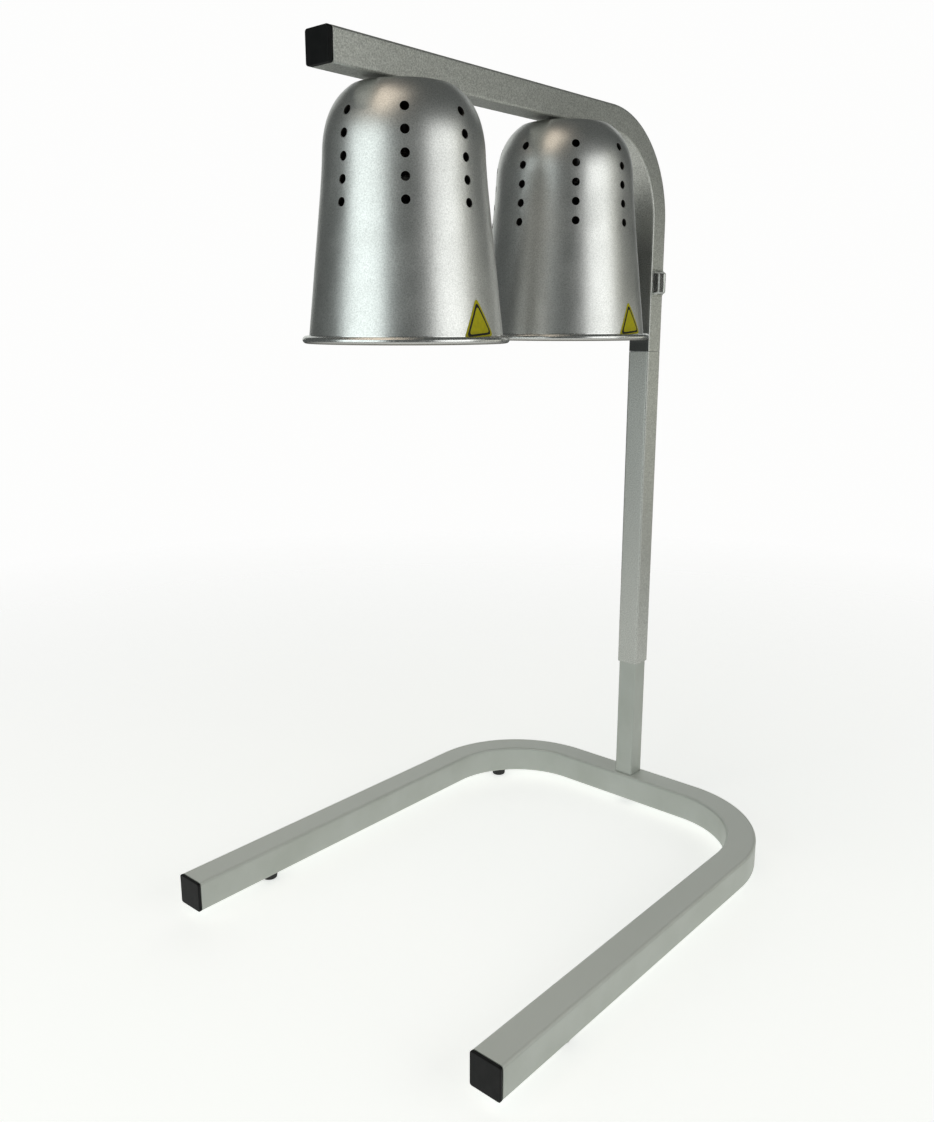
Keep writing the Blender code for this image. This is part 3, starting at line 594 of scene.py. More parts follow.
def rod(bm, centre, axis, radius, length, sides=40):
    aim = Vector(axis).to_track_quat("Z", "Y").to_matrix().to_4x4()
    bmesh.ops.create_cone(
        bm, cap_ends=True, segments=sides, radius1=radius, radius2=radius, depth=length,
        matrix=Matrix.Translation(centre) @ aim,
    )


def block(bm, size, centre):
    shape = Matrix.Translation(centre) @ Matrix.Diagonal((*size, 1.0))
    return bmesh.ops.create_cube(bm, size=1.0, matrix=shape)["verts"]


def soften(piece, width, segments=3, angle=40.0):
    bevel = piece.modifiers.new("soft edges", "BEVEL")
    bevel.width = width
    bevel.segments = segments
    bevel.limit_method = "ANGLE"
    bevel.angle_limit = math.radians(angle)


# %% [markdown]
# ## Bent square tube
# Welded square tube has rounded edges, and a bender draws it round in one sweep. A curve with a square bevel
# would do, but its corners twist. Here a ring of edges is pushed along the straights and spun round the
# bends, so every corner stays true. Solidify then gives the wall, and a tiny bevel breaks the sawn ends.

# %% Tube maker
def square_ring(bm, side, corner, start, segments=6):
    inner = side / 2 - corner
    ring = []
    for quarter in range(4):
        turn = Matrix.Rotation(quarter * math.pi / 2, 2)
        for step in range(segments + 1):
            angle = step / segments * math.pi / 2
            point = turn @ Vector((inner + corner * math.cos(angle), inner + corner * math.sin(angle)))
            ring.append(bm.verts.new(start @ Vector((*point, 0))))
    return [bm.edges.new((ring[i - 1], ring[i])) for i in range(len(ring))]


def push(bm, ring, shift):
    made = bmesh.ops.extrude_edge_only(bm, edges=ring)["geom"]
    fresh = {item for item in made if isinstance(item, bmesh.types.BMVert)}
    bmesh.ops.translate(bm, verts=list(fresh), vec=shift)
    return [e for e in made if isinstance(e, bmesh.types.BMEdge) and fresh.issuperset(e.verts)]


def bend(bm, ring, centre, axis, angle, steps=40):
    made = bmesh.ops.spin(bm, geom=ring, cent=centre, axis=axis, angle=angle, steps=steps)
    return [item for item in made["geom_last"] if isinstance(item, bmesh.types.BMEdge)]


def tube(name, bm, wall):
    bmesh.ops.recalc_face_normals(bm, faces=bm.faces)
    piece = add(name, mesh_from(name, bm))
    skin = piece.modifiers.new("wall", "SOLIDIFY")
    skin.thickness = wall
    skin.offset = -1.0
    skin.use_even_offset = True
    settle(piece, weighted=False)
    soften(piece, 0.00025, 2, 60.0)
    return settle(piece)


# %% [markdown]
# ## Base frame
# One length of 30 mm tube, bent twice, makes both legs and the crossbar. The screws of the feet and the bolt
# of the post go through it from below.

# %% Base frame
def base_frame():
    low, high = (Vector(corner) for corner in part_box("base_frame"))
    z = (low.z + high.z) / 2
    leg_x = high.x - BASE_TUBE / 2
    bend_y = POST_Y - BASE_BEND
    bm = bmesh.new()
    start = Matrix.Translation((-leg_x, low.y, z)) @ Matrix.Rotation(math.pi / 2, 4, "X")
    ring = square_ring(bm, BASE_TUBE, BASE_CORNER, start)
    ring = push(bm, ring, (0, bend_y - low.y, 0))
    ring = bend(bm, ring, (BASE_BEND - leg_x, bend_y, z), (0, 0, 1), -math.pi / 2)
    ring = push(bm, ring, (2 * (leg_x - BASE_BEND), 0, 0))
    ring = bend(bm, ring, (leg_x - BASE_BEND, bend_y, z), (0, 0, 1), -math.pi / 2)
    push(bm, ring, (0, low.y - bend_y, 0))
    frame_tube = tube("base_frame_fine", bm, BASE_WALL)
    holes = bmesh.new()
    for spot in FOOT_SPOTS:
        centre = middle("foot_" + spot)
        rod(holes, (centre.x, centre.y, low.z), (0, 0, 1), 0.0023, 0.006, 24)
    rod(holes, (0, POST_Y, high.z), (0, 0, 1), 0.0045, 0.006, 32)
    rod(holes, (0, POST_Y, low.z), (0, 0, 1), 0.0095, 0.006, 48)
    cut_away(frame_tube, holes)
    return dress(frame_tube, "stand", "silver_paint", BASE_PAINT, "base_frame")


print("base frame:", base_frame().dimensions)

# %% [markdown]
# ## Post and column
# The inner post stands on the crossbar and carries the duller coat of the base. The column slides over
# it: its lower end shows as a step of a millimetre and a half on each side.

# %% Post and column
def upright(name, node, side, corner, wall):
    low, high = (Vector(point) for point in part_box(node))
    bm = bmesh.new()
    ring = square_ring(bm, side, corner, Matrix.Translation((0, POST_Y, low.z)))
    push(bm, ring, (0, 0, high.z - low.z))
    return tube(name, bm, wall)


def column():
    piece = upright("column_tube_fine", "column_tube", COLUMN_TUBE, COLUMN_CORNER, COLUMN_WALL)
    face_y = POST_Y + COLUMN_TUBE / 2
    holes = bmesh.new()
    radii = {"clamp_screw": 0.0028, "cord_bushing": 0.0053, "spigot_screw_lower": 0.0023}
    for node, radius in radii.items():
        rod(holes, (0, face_y, middle(node).z), (0, 1, 0), radius, 0.006, 32)
    cut_away(piece, holes)
    return dress(piece, "head", "silver_paint", SILVER_PAINT, "column_tube")


post = upright("inner_post_fine", "inner_post", POST_TUBE, POST_CORNER, POST_WALL)
dress(post, "stand", "zinc", BASE_PAINT, "inner_post")
print("post:", post.dimensions, "column:", column().dimensions)

# %% [markdown]
# ## Arm
# The arm begins at the seam above the column, bends forward once and runs level over the food. It has
# round holes below for the lamps' threaded tubes and a window on its right face for the switch.

# %% Arm
def arm():
    low, high = (Vector(corner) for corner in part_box("arm_tube"))
    z = high.z - COLUMN_TUBE / 2
    bm = bmesh.new()
    ring = square_ring(bm, COLUMN_TUBE, COLUMN_CORNER, Matrix.Translation((0, POST_Y, low.z)))
    ring = push(bm, ring, (0, 0, z - ARM_BEND - low.z))
    ring = bend(bm, ring, (0, POST_Y - ARM_BEND, z - ARM_BEND), (1, 0, 0), math.pi / 2)
    push(bm, ring, (0, low.y - POST_Y + ARM_BEND, 0))
    piece = tube("arm_tube_fine", bm, COLUMN_WALL)
    holes = bmesh.new()
    for lamp in LAMPS:
        y = middle("lamp_nipple_" + lamp).y
        rod(holes, (0, y, z - COLUMN_TUBE / 2), (0, 0, 1), 0.0053, 0.006, 32)
    screw = middle("spigot_screw_upper")
    rod(holes, (0, POST_Y + COLUMN_TUBE / 2, screw.z), (0, 1, 0), 0.0023, 0.006, 24)
    switch_z = middle("switch_cover").z
    block(holes, (0.006, 0.0136, 0.0196), (COLUMN_TUBE / 2, POST_Y, switch_z))
    cut_away(piece, holes)
    return dress(piece, "head", "silver_paint", ARM_PAINT, "arm_tube")


print("arm:", arm().dimensions)

# %% [markdown]
# ## End plugs
# Push-in plugs close the legs and the arm. The visible face is a hair smaller than the tube, with soft
# corners, and a short square body fits the inside. The arm's plug is thicker than the legs'.

# %% End plugs
def end_plug(name, node, side, body, tube_wall, flange=0.003):
    """A plug whose face looks along -Y."""
    low, high = (Vector(corner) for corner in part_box(node))
    face = side - 0.0002
    bm = bmesh.new()
    start = Matrix.Translation((middle(node).x, low.y + flange, middle(node).z))
    ring = square_ring(bm, face, 0.0022, start @ Matrix.Rotation(math.pi / 2, 4, "X"), 5)
    ring = push(bm, ring, (0, -flange, 0))
    bmesh.ops.holes_fill(bm, edges=bm.edges, sides=0)
    bmesh.ops.recalc_face_normals(bm, faces=bm.faces)
    inner = side - 2 * tube_wall - 2 * SMALL_GAP
    block(bm, (inner, high.y - low.y - flange + 0.0005, inner), (
        middle(node).x, (low.y + flange - 0.0005 + high.y) / 2, middle(node).z))
    piece = add(name, mesh_from(name, bm))
    soften(piece, 0.0007, 3)
    settle(piece)
    return dress(piece, body, "black_plastic", MOULDED_BLACK, node)


end_plug("leg_plug_left_fine", "leg_plug_left", BASE_TUBE, "stand", BASE_WALL)
end_plug("leg_plug_right_fine", "leg_plug_right", BASE_TUBE, "stand", BASE_WALL)
arm_plug = end_plug("arm_plug_fine", "arm_end_plug", COLUMN_TUBE, "head", COLUMN_WALL, 0.0045)
print("arm plug:", arm_plug.dimensions)

# %% [markdown]
# ## Turned pieces
# Feet, nuts, knobs, shades and bulbs are all round, so one helper turns a profile about an axis. A profile
# that closes on itself makes a ring. The points run down the outer side, which keeps the faces outward.

# %% Turning
def turned(name, profile, where, turn=None, steps=64, ring=False, sharp=38.0):
    mesh = bpy.data.meshes.new(name)
    edges = [(i, i + 1) for i in range(len(profile) - 1)]
    if ring:
        edges.append((len(profile) - 1, 0))
    mesh.from_pydata([(radius, 0, height) for radius, height in profile], edges, [])
    piece = add(name, mesh)
    screw = piece.modifiers.new("turn", "SCREW")
    screw.steps = steps
    screw.render_steps = steps
    screw.use_merge_vertices = True
    screw.merge_threshold = 0.00002
    settle(piece, sharp, weighted=False)
    placing = Matrix.Translation(where)
    if turn is not None:
        placing = placing @ turn
    piece.data.transform(placing)
    return piece


def rounding(centre, radius, from_degrees, to_degrees, points=6):
    """Points on an arc of a profile, in order."""
    line = []
    for step in range(points + 1):
        angle = math.radians(from_degrees + (to_degrees - from_degrees) * step / points)
        line.append((centre[0] + radius * math.cos(angle), centre[1] + radius * math.sin(angle)))
    return line


TOWARDS_BACK = Matrix.Rotation(-math.pi / 2, 4, "X")

# %% [markdown]
# ## Feet
# Four rubber buttons are screwed up into the base tube. Each tapers slightly towards the table and has a
# rounded lower edge, and the screw head sits in a recess so that it can't scratch.

# %% Feet
def screw_head(name, radius, height, where, turn, body, node):
    """A domed head on a shank, with a cross recess."""
    depth = span(node).length
    dome = [(0, height)]
    dome += [(radius * math.sin(a), height * (0.25 + 0.75 * math.cos(a))) for a in (0.5, 0.9, 1.25)]
    dome += [(radius, height * 0.25), (radius, 0), (0.0019, 0), (0.0019, -0.25 * depth), (0, -0.25 * depth)]
    piece = turned(name, dome, (0, 0, 0), steps=32)
    for size in ((0.0008, radius * 1.1, height), (radius * 1.1, 0.0008, height)):
        slot = bmesh.new()
        block(slot, size, (0, 0, height))
        cut_away(piece, slot)
    piece.data.transform(Matrix.Translation(where) @ turn)
    return dress(piece, body, "zinc", ZINC_PLATE, node)


def foot(spot):
    node = "foot_" + spot
    low, high = (Vector(corner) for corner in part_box(node))
    height = high.z - low.z
    profile = [(0.0023, height), *rounding((0.0079, height - 0.0006), 0.0006, 90, 0, 3)]
    profile += [(0.0085, 0.0070), *rounding((0.0065, 0.0012), 0.0012, 10, -90, 5)]
    profile += [(0.0048, 0), (0.0044, 0.0004), (0.0044, 0.005), (0.0023, 0.005)]
    place = (middle(node).x, middle(node).y, low.z)
    piece = turned(node + "_fine", profile, place, ring=True, steps=48)
    dress(piece, "stand", "black_rubber", DULL_RUBBER, node)
    turn = Matrix.Rotation(math.pi, 4, "X")
    screw_head(
        "foot_screw_fine_" + spot, 0.0038, 0.0022, (place[0], place[1], low.z + 0.0047), turn, "stand",
        "foot_screw_" + spot,
    )
    return piece


for spot in FOOT_SPOTS:
    print("foot:", foot(spot).dimensions)

# %% [markdown]
# ## Screws, thumb screw and bushing on the back
# Two small screws hold the inner joint at the seam. The thumb screw has a knurled head to be gripped by
# hand: its teeth are cut round a turned blank. The bushing is a soft ring that the cord would come through.

# %% Back fittings
BACK_Y = POST_Y + COLUMN_TUBE / 2


def knurled(name, node):
    low, high = (Vector(corner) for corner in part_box(node))
    radius = (high.x - low.x) / 2
    top = high.y - BACK_Y
    head_low = 0.0039
    profile = [(0, top - 0.0004), (0.0030, top - 0.0004), (0.0036, top)]
    profile += [(radius - 0.0008, top), (radius, top - 0.0007), (radius, head_low + 0.0007)]
    profile += [(radius - 0.0008, head_low), (0.0025, head_low)]
    profile += [(0.0025, low.y - BACK_Y), (0, low.y - BACK_Y)]
    piece = turned(name, profile, (0, 0, 0), steps=96)
    teeth = bmesh.new()
    for tooth in range(32):
        angle = tooth * math.pi / 16
        rod(teeth, (1.045 * radius * math.cos(angle), 1.045 * radius * math.sin(angle), top / 2 + 0.002),
            (0, 0, 1), 0.00045, 0.02, 8)
    cut_away(piece, teeth)
    piece.data.transform(Matrix.Translation((0, BACK_Y, middle(node).z)) @ TOWARDS_BACK)
    return dress(piece, "clamp", "zinc", ZINC_PLATE, node)


def boss():
    node = "clamp_boss"
    profile = [(0.0028, 0.0036), *rounding((0.0052, 0.0028), 0.0008, 90, 0, 4), (0.0060, 0.0008)]
    profile += [(0.0062, 0.0003), (0.0028, 0.0003)]
    place = (0, BACK_Y, middle(node).z)
    piece = turned("clamp_boss_fine", profile, place, TOWARDS_BACK, ring=True, steps=48)
    return dress(piece, "head", "silver_paint", SILVER_PAINT, node)


def bushing():
    node = "cord_bushing"
    profile = [(0.0033, 0.0034), *rounding((0.0041, 0.0033), 0.0007, 150, 60, 3)]
    profile += [*rounding((0.0062, 0.0022), 0.0018, 70, 0, 5), (0.0080, 0.0003), (0.0050, 0.0003)]
    profile += [(0.0050, -0.0042), (0.0033, -0.0042)]
    place = (0, BACK_Y, middle(node).z)
    piece = turned("cord_bushing_fine", profile, place, TOWARDS_BACK, ring=True, steps=48)
    return dress(piece, "head", "black_rubber", DULL_RUBBER, node)


print("thumb screw:", knurled("clamp_screw_fine", "clamp_screw").dimensions)
print("boss:", boss().dimensions, "bushing:", bushing().dimensions)
for which in ("lower", "upper"):
    node = "spigot_screw_" + which
    place = (0, BACK_Y + SMALL_GAP, middle(node).z)
    screw_head("spigot_screw_fine_" + which, 0.0035, 0.0018, place, TOWARDS_BACK, "head", node)

# %% [markdown]
# ## Shades
# A shade is spun from one disc: a flat crown, a full shoulder, a slightly tapering skirt and an edge rolled
# outward round a wire. The shoulder is a superellipse, which is how spun metal settles between flat and
# upright. Inner and outer lines form one closed profile, so the wall has its real thickness in the vents.

# %% Shade profile
SHADE_LOW = Vector(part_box("shade_front")[0])
SHADE_HIGH = Vector(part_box("shade_front")[1])
RIM_Z = SHADE_LOW.z
SHADE_HEIGHT = SHADE_HIGH.z - SHADE_LOW.z
BEAD = 0.0030
RIM_RADIUS = 0.0840
SKIRT_TOP = 0.1332
SKIRT_TOP_RADIUS = 0.0642
SKIRT_LOW_RADIUS = 0.0785
SHOULDER = 0.0683
FULLNESS = 0.76


def skirt_radius(height):
    share = (height - 2 * BEAD) / (SKIRT_TOP - 2 * BEAD)
    return SKIRT_LOW_RADIUS + (SKIRT_TOP_RADIUS - SKIRT_LOW_RADIUS) * share


def shade_line(points=26):
    """Outer line from the crown down to the top of the bead."""
    crown = math.asin(((SHADE_HEIGHT - SKIRT_TOP) / SHOULDER) ** (1 / FULLNESS))
    line = []
    for step in range(points):
        angle = crown * (1 - step / points)
        radius = SKIRT_TOP_RADIUS * math.cos(angle) ** FULLNESS
        line.append(Vector((radius, SKIRT_TOP + SHOULDER * math.sin(angle) ** FULLNESS)))
    for step in range(9):
        height = SKIRT_TOP + (2 * BEAD + 0.0006 - SKIRT_TOP) * step / 8
        line.append(Vector((skirt_radius(height), height)))
    return line


def shade_profile():
    outer = shade_line()
    for _ in range(3):  # ease the corner between crown and shoulder
        threes = zip(outer, outer[1:], outer[2:])
        outer = [outer[0], *[(a + 2 * b + c) / 4 for a, b, c in threes], outer[-1]]
    first = outer[0]
    crown = [Vector((0.0053, SHADE_HEIGHT)), Vector((first.x - 0.004, SHADE_HEIGHT))]
    outer = [*crown, *outer[1:]]
    inner = []
    for i, point in enumerate(outer):
        along = (outer[min(i + 1, len(outer) - 1)] - outer[max(i - 1, 0)]).normalized()
        inner.append(point + 0.0012 * Vector((along.y, -along.x)))
    inner[0].x = 0.0053
    bead = rounding((RIM_RADIUS - BEAD, BEAD), BEAD, 140, -150, 22)
    lip = [(inner[-1].x + 0.0004, 0.0006), (inner[-1].x, 0.0012)]
    return [*(tuple(p) for p in outer), *bead, *lip, *(tuple(p) for p in reversed(inner))]


print("shade profile points:", len(shade_profile()))

# %% [markdown]
# ## Vents
# Forty round holes let the heat out: eight columns of five, the lowest where the skirt begins. They are
# drilled straight at the axis, so the upper ones come out slightly oval on the shoulder, as real ones do.

# %% Shades with vents
VENT_RADIUS = 0.0035
VENT_HIGHEST = 0.169
VENT_PITCH = 0.01626
VENT_HEADINGS = [column_number * math.pi / 4 for column_number in range(8)]
VENT_HEIGHTS = [VENT_HIGHEST - row * VENT_PITCH for row in range(5)]


def vents():
    bm = bmesh.new()
    for angle in VENT_HEADINGS:
        outward = Vector((math.cos(angle), math.sin(angle), 0))
        for height in VENT_HEIGHTS:
            centre = outward * SKIRT_TOP_RADIUS + Vector((0, 0, height))
            rod(bm, centre, outward, VENT_RADIUS, 0.030, 28)
    return bm


def shade_mesh():
    piece = turned("shade", shade_profile(), (0, 0, 0), steps=144, ring=True)
    cut_away(piece, vents())
    return piece


def shades():
    first = shade_mesh()
    second = add("shade_rear_fine", first.data.copy())
    second.modifiers.new("weighted normals", "WEIGHTED_NORMAL").keep_sharp = True
    first.name = "shade_front_fine"
    for piece, lamp in ((first, "front"), (second, "rear")):
        centre = Vector((0, middle("shade_" + lamp).y, RIM_Z))
        dress(piece, "head", "spun_aluminium", SATIN_ALUMINIUM, "shade_" + lamp)
        piece.data.materials.append(PAINTED_SHADE_INSIDE)
        piece.data.materials.append(BURNISHED_RIM)
        for face in piece.data.polygons:
            outward = Vector((face.center.x, face.center.y, 0)).length
            inside = face.normal.z < 0.5 and face.normal.xy.dot(face.center.xy) < 0
            rolled_edge = face.center.z < 2 * BEAD - 0.0002 and outward > SKIRT_LOW_RADIUS
            face.material_index = 2 if rolled_edge else int(inside)
        piece.data.transform(Matrix.Translation(centre))
        vent_edges(lamp, centre)
    return first


def skin_point(heights, radii, side, height, lift):
    """A point on the outer skin, this far beside the +X line and this high."""
    above = next(i for i, value in enumerate(heights) if value > height)
    share = (height - heights[above - 1]) / (heights[above] - heights[above - 1])
    radius = radii[above - 1] + share * (radii[above] - radii[above - 1]) + lift
    return Vector((math.sqrt(radius ** 2 - side ** 2), side, height))


def vent_edges(lamp, centre, sides=28, width=0.00045, lift=0.00006):
    """A thin bright ring round each vent, laid on the curve of the shade: bare metal and a painted
    highlight.
    """
    radii, heights = zip(*reversed(shade_line()))
    turns = [step / sides * 2 * math.pi for step in range(sides)]
    bm = bmesh.new()
    for angle in VENT_HEADINGS:
        heading = Matrix.Rotation(angle, 3, "Z")
        for level in VENT_HEIGHTS:
            rings = []
            for size in (VENT_RADIUS, VENT_RADIUS + width):
                flat = [(size * math.cos(turn), level + size * math.sin(turn)) for turn in turns]
                points = [skin_point(heights, radii, side, height, lift) for side, height in flat]
                rings.append([bm.verts.new(centre + heading @ point) for point in points])
            inner, outer = rings
            for i in range(sides):
                bm.faces.new((inner[i - 1], inner[i], outer[i], outer[i - 1]))
    bmesh.ops.recalc_face_normals(bm, faces=bm.faces)
    piece = add("vent_edges_" + lamp, mesh_from("vent_edges_" + lamp, bm))
    piece.data.shade_smooth()
    return dress(piece, "head", "spun_aluminium", CUT_EDGE_AND_HIGHLIGHT)


print("shade:", shades().dimensions)

# %% [markdown]
# ## Stickers
# Each shade has a small yellow triangle low on the switch side. Here it is a plain one with no sign on it:
# a yellow film, a dark line and a yellow field, each layer laid on the curve of the skirt.

# %% Stickers
STICKER_RADIUS = 0.0203
STICKER_CORNER = 0.0042
STICKER_HEIGHT = 0.0152
STICKER_TURN = math.radians(4.0)


def sticker_layer(name, lamp, share, lift, finish):
    bm = bmesh.new()
    bmesh.ops.create_circle(bm, cap_ends=True, segments=3, radius=STICKER_RADIUS * share)
    bmesh.ops.bevel(
        bm, geom=list(bm.verts), offset=STICKER_CORNER * share, segments=5, affect="VERTICES", profile=0.5
    )
    bmesh.ops.triangulate(bm, faces=bm.faces)
    for _ in range(3):
        bmesh.ops.subdivide_edges(bm, edges=bm.edges, cuts=1, use_grid_fill=True)
        bmesh.ops.triangulate(bm, faces=bm.faces)
    centre = Vector((0, middle("shade_" + lamp).y, RIM_Z))
    bmesh.ops.rotate(bm, verts=bm.verts, matrix=Matrix.Rotation(STICKER_TURN, 3, "Z"))
    across = max(v.co.x for v in bm.verts)
    for vert in bm.verts:
        side, up = vert.co.x, vert.co.y
        height = STICKER_HEIGHT + up
        radius = skirt_radius(height) + lift
        angle = side / radius
        vert.co = centre + Vector((radius * math.cos(angle), radius * math.sin(angle), height))
    piece = add(name, mesh_from(name, bm))
    piece.data.shade_smooth()
    dress(piece, "head", "black_plastic", finish)
    return across


for lamp in LAMPS:
    half = sticker_layer("sticker_film_" + lamp, lamp, 1.0, 0.00012, YELLOW_VINYL)
    sticker_layer("sticker_line_" + lamp, lamp, 0.84, 0.00020, DARK_INK)
    sticker_layer("sticker_field_" + lamp, lamp, 0.68, 0.00028, YELLOW_VINYL)
    print("sticker on", lamp, "shade, half width", round(half, 4))

# %% [markdown]
# ## Lampholders and bulbs
# Inside each shade hangs a porcelain holder with a rolled brass screw shell. The bulb is a wide reflector
# lamp: its cap has the same rolled thread, its cone is silvered and its face is frosted. They show only
# from below, but they are what the stand is for.

# %% Lampholder
def rolled(radius, top, bottom, pitch=0.0036, depth=0.0005):
    """A line with the round crests of a rolled screw shell."""
    turns = (top - bottom) / pitch
    count = int(turns * 8)
    line = []
    for step in range(count + 1):
        share = step / count
        crest = depth * math.sin(share * turns * 2 * math.pi)
        line.append((radius + crest, top + (bottom - top) * share))
    return line


def lampholder(lamp):
    centre = (0, middle("lampholder_" + lamp).y, RIM_Z)
    top = Vector(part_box("lampholder_" + lamp)[1]).z - RIM_Z
    low = Vector(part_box("lampholder_" + lamp)[0]).z - RIM_Z
    body = [(0.0053, top), *rounding((0.0150, top - 0.005), 0.005, 90, 30, 5)]
    body += [*rounding((0.0190, top - 0.015), 0.0040, 60, 0, 5), (0.0230, low + 0.002)]
    body += [*rounding((0.0215, low + 0.0015), 0.0015, 0, -90, 4), (0.0150, low), (0.0150, low + 0.039)]
    body += [(0.0053, low + 0.039)]
    piece = turned("lampholder_fine_" + lamp, body, centre, ring=True)
    dress(piece, "head", "porcelain", SHADE_DARK_PORCELAIN, "lampholder_" + lamp)
    low_shell, high_shell = (Vector(c).z - RIM_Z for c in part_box("socket_shell_" + lamp))
    outer = rolled(0.0143, high_shell, low_shell, depth=0.0003)
    inner = [(radius - 0.0006, height) for radius, height in reversed(outer)]
    shell = turned("socket_shell_fine_" + lamp, [*outer, *inner], centre, ring=True)
    dress(shell, "head", "brass", WARM_BRASS, "socket_shell_" + lamp)
    return piece


print("lampholder:", lampholder("front").dimensions, lampholder("rear").dimensions)

# %% Bulb
BULB_RADIUS = 0.0625
BULB_WAIST = 0.050


def bulb_line():
    """The glass from its neck to the middle of its face."""
    face = Vector(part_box("bulb_glass_front")[0]).z - RIM_Z
    neck_top = Vector(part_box("bulb_glass_front")[1]).z - RIM_Z
    flare = 0.1416
    line = [(0.01175, neck_top), (0.01175, flare + 0.006)]
    for step in range(1, 29):
        share = step / 28
        spread = math.sin(share * math.pi / 2) ** 1.4
        line.append((0.01175 + (BULB_RADIUS - 0.01175) * spread, flare + (BULB_WAIST - flare) * share))
    for step in range(1, 20):
        angle = step / 20 * math.pi / 2
        height = BULB_WAIST + (face - BULB_WAIST) * math.sin(angle)
        line.append((BULB_RADIUS * math.cos(angle) ** 0.7, height))
    return [*line, (0, face)]


def bulb(lamp):
    node = "bulb_glass_" + lamp
    centre = (0, middle(node).y, RIM_Z)
    piece = turned("bulb_glass_fine_" + lamp, bulb_line(), centre, steps=96)
    dress(piece, lamp + "_bulb", "lamp_glass", SILVERED_GLASS, node)
    piece.data.materials.append(FROSTED_GLASS)
    for face in piece.data.polygons:
        face.material_index = int(face.center.z < RIM_Z + BULB_WAIST - 0.004)
    low, high = (Vector(c).z - RIM_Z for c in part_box("bulb_cap_" + lamp))
    cap = [(0, high), (0.0040, high), (0.0050, high - 0.001), (0.0060, high - 0.0016)]
    cap += [(0.0118, high - 0.0040), *rolled(0.0129, high - 0.0050, low + 0.002, depth=0.0003)]
    cap += [(0.0122, low), (0.0120, low)]
    piece_cap = turned("bulb_cap_fine_" + lamp, cap, centre)
    dress(piece_cap, lamp + "_bulb", "brass", WARM_BRASS, "bulb_cap_" + lamp)
    return piece


print("bulb:", bulb("front").dimensions, bulb("rear").dimensions)

# %% [markdown]
# ## Switch
# A small rocker switch is snapped into the arm's right face and covered with a clear cap against grease
# and steam. The rocker is a shallow wedge on a pivot. Cap and bezel have soft moulded edges, made with
# bevels on simple blocks.

# %% Switch body and rocker
SWITCH = Vector((COLUMN_TUBE / 2, POST_Y, middle("switch_cover").z))


def switch_housing():
    bm = bmesh.new()
    block(bm, (0.0017, 0.0140, 0.0206), SWITCH + Vector((0.00245, 0, 0)))
    piece = add("switch_housing_fine", mesh_from("switch_housing_fine", bm))
    soften(piece, 0.0006, 3)
    settle(piece)
    hole = bmesh.new()
    block(hole, (0.01, 0.0110, 0.0178), SWITCH)
    cut_away(piece, hole)
    body = bmesh.new()
    block(body, (0.0148, 0.0129, 0.0189), SWITCH + Vector((-0.0063, 0, 0)))
    box_piece = add("switch_body_fine", mesh_from("switch_body_fine", body))
    well = bmesh.new()
    block(well, (0.020, 0.0110, 0.0178), SWITCH + Vector((0.0010, 0, 0)))
    cut_away(box_piece, well)
    dress(box_piece, "head", "black_plastic", MOULDED_BLACK)
    return dress(piece, "head", "black_plastic", MOULDED_BLACK, "switch_housing")


def rocker():
    slope = math.radians(10.0)
    apex, half = 0.0082, 0.0076
    end_x = apex - half * math.tan(slope)
    side = [(end_x, half), (0.0040, 0.0070), (-0.0040, 0.0035)]
    outline = [(apex, 0), *side, *((x, -z) for x, z in reversed(side))]
    bm = bmesh.new()
    ring = [bm.verts.new((x, -0.0052, z)) for x, z in outline]
    made = bmesh.ops.extrude_face_region(bm, geom=[bm.faces.new(ring)])["geom"]
    verts = [item for item in made if isinstance(item, bmesh.types.BMVert)]
    bmesh.ops.translate(bm, verts=verts, vec=(0, 0.0104, 0))
    bmesh.ops.recalc_face_normals(bm, faces=bm.faces)
    pivot = Matrix.Translation(SWITCH + Vector((-0.0035, 0, 0)))
    bm.transform(pivot @ Matrix.Rotation(-slope, 4, "Y"))
    piece = add("switch_rocker_fine", mesh_from("switch_rocker_fine", bm))
    soften(piece, 0.0005, 3, 15.0)
    settle(piece)
    return dress(piece, "rocker", "black_plastic", MOULDED_BLACK, "switch_rocker")


print("switch:", switch_housing().dimensions, "rocker:", rocker().dimensions)

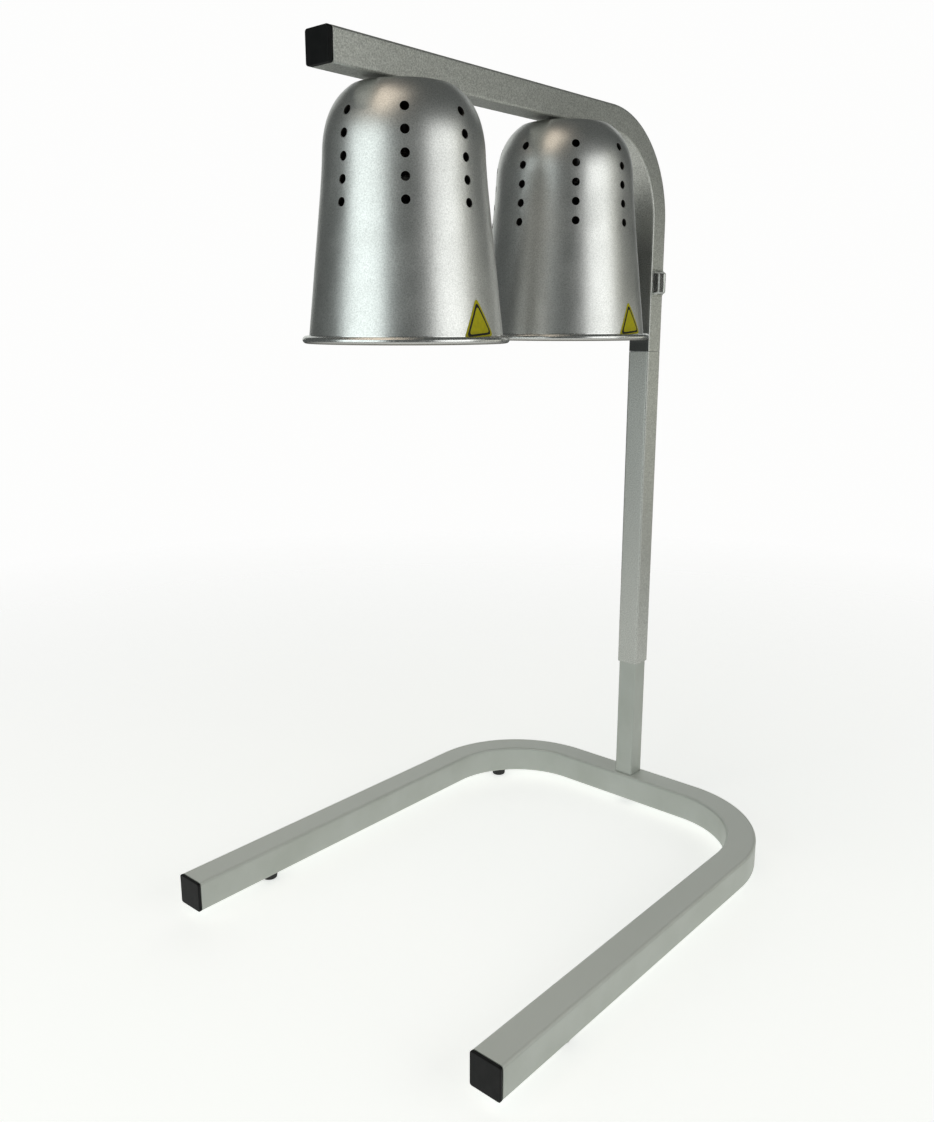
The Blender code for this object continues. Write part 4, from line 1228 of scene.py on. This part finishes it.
# %% Switch cover
def switch_cover():
    reach = Vector(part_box("switch_cover")[1]).x - SWITCH.x
    bm = bmesh.new()
    base, top = (0.0180, 0.0240), (0.0138, 0.0213)
    for vert in block(bm, (reach - 0.0009, *base), (0, 0, 0)):
        if vert.co.x > 0:
            vert.co.y *= top[0] / base[0]
            vert.co.z *= top[1] / base[1]
    back = min(bm.faces, key=lambda f: f.calc_center_median().x)
    bmesh.ops.delete(bm, geom=[back], context="FACES_ONLY")
    sides = [e for e in bm.edges if not e.is_boundary]
    bmesh.ops.bevel(bm, geom=sides, offset=0.0022, segments=6, affect="EDGES", profile=0.5)
    rim = [e for e in bm.edges if e.is_boundary]
    rim = push(bm, rim, (0, 0, 0))
    lip = {v for e in rim for v in e.verts}
    for vert in lip:
        vert.co.y *= 0.0210 / base[0]
        vert.co.z *= 0.0273 / base[1]
    bmesh.ops.translate(bm, verts=bm.verts, vec=SWITCH + Vector((reach / 2 + 0.00045, 0, 0)))
    bmesh.ops.recalc_face_normals(bm, faces=bm.faces)
    piece = add("switch_cover_fine", mesh_from("switch_cover_fine", bm))
    skin = piece.modifiers.new("wall", "SOLIDIFY")
    skin.thickness = 0.0008
    skin.offset = -1.0
    settle(piece, 60.0)
    dress(piece, "head", "clear_silicone", CLEAR_SILICONE, "switch_cover")
    piece.data.materials.append(HIGHLIGHT_EDGE)
    # painted highlight: the rounded corners take the whitish silicone
    for face in piece.data.polygons:
        corner = max(abs(part) for part in face.normal) < 0.88
        face.material_index = int(corner)
    return piece


print("switch cover:", switch_cover().dimensions)

# %% [markdown]
# ## Finishes for the solids that stay
# The hidden fixings are right as they are. They only need their plating, brass, rubber or cable sheath.

# %% Solids that stay
def cable_sheath():
    sheath = Finish("cable sheath", (0.62, 0.62, 0.60), roughness=0.55)
    dust = sheath.noise(0.004, detail=3.0)
    sheath.tint(dust, (0.52, 0.52, 0.50), (0.68, 0.68, 0.66))
    sheath.vary(dust, "Roughness", 0.48, 0.64)
    return sheath.material


CABLE_SHEATH = cable_sheath()
KEPT = {
    "zinc": ZINC_PLATE,
    "brass": WARM_BRASS,
    "black_rubber": DULL_RUBBER,
    "black_plastic": MOULDED_BLACK,
    "white_cable": CABLE_SHEATH,
}
slots = {part["node"]: part["material_slot"] for part in frame["record"]["subparts"]}
replaced = {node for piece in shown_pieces() for node in piece.get("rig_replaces", [])}
kept = [node for node in frame["nodes"] if node not in replaced]
for node in kept:
    for index in range(len(frame["nodes"][node].material_slots)):
        frame["nodes"][node].material_slots[index].material = KEPT[slots[node]]
print("solids that stay:", sorted(kept))
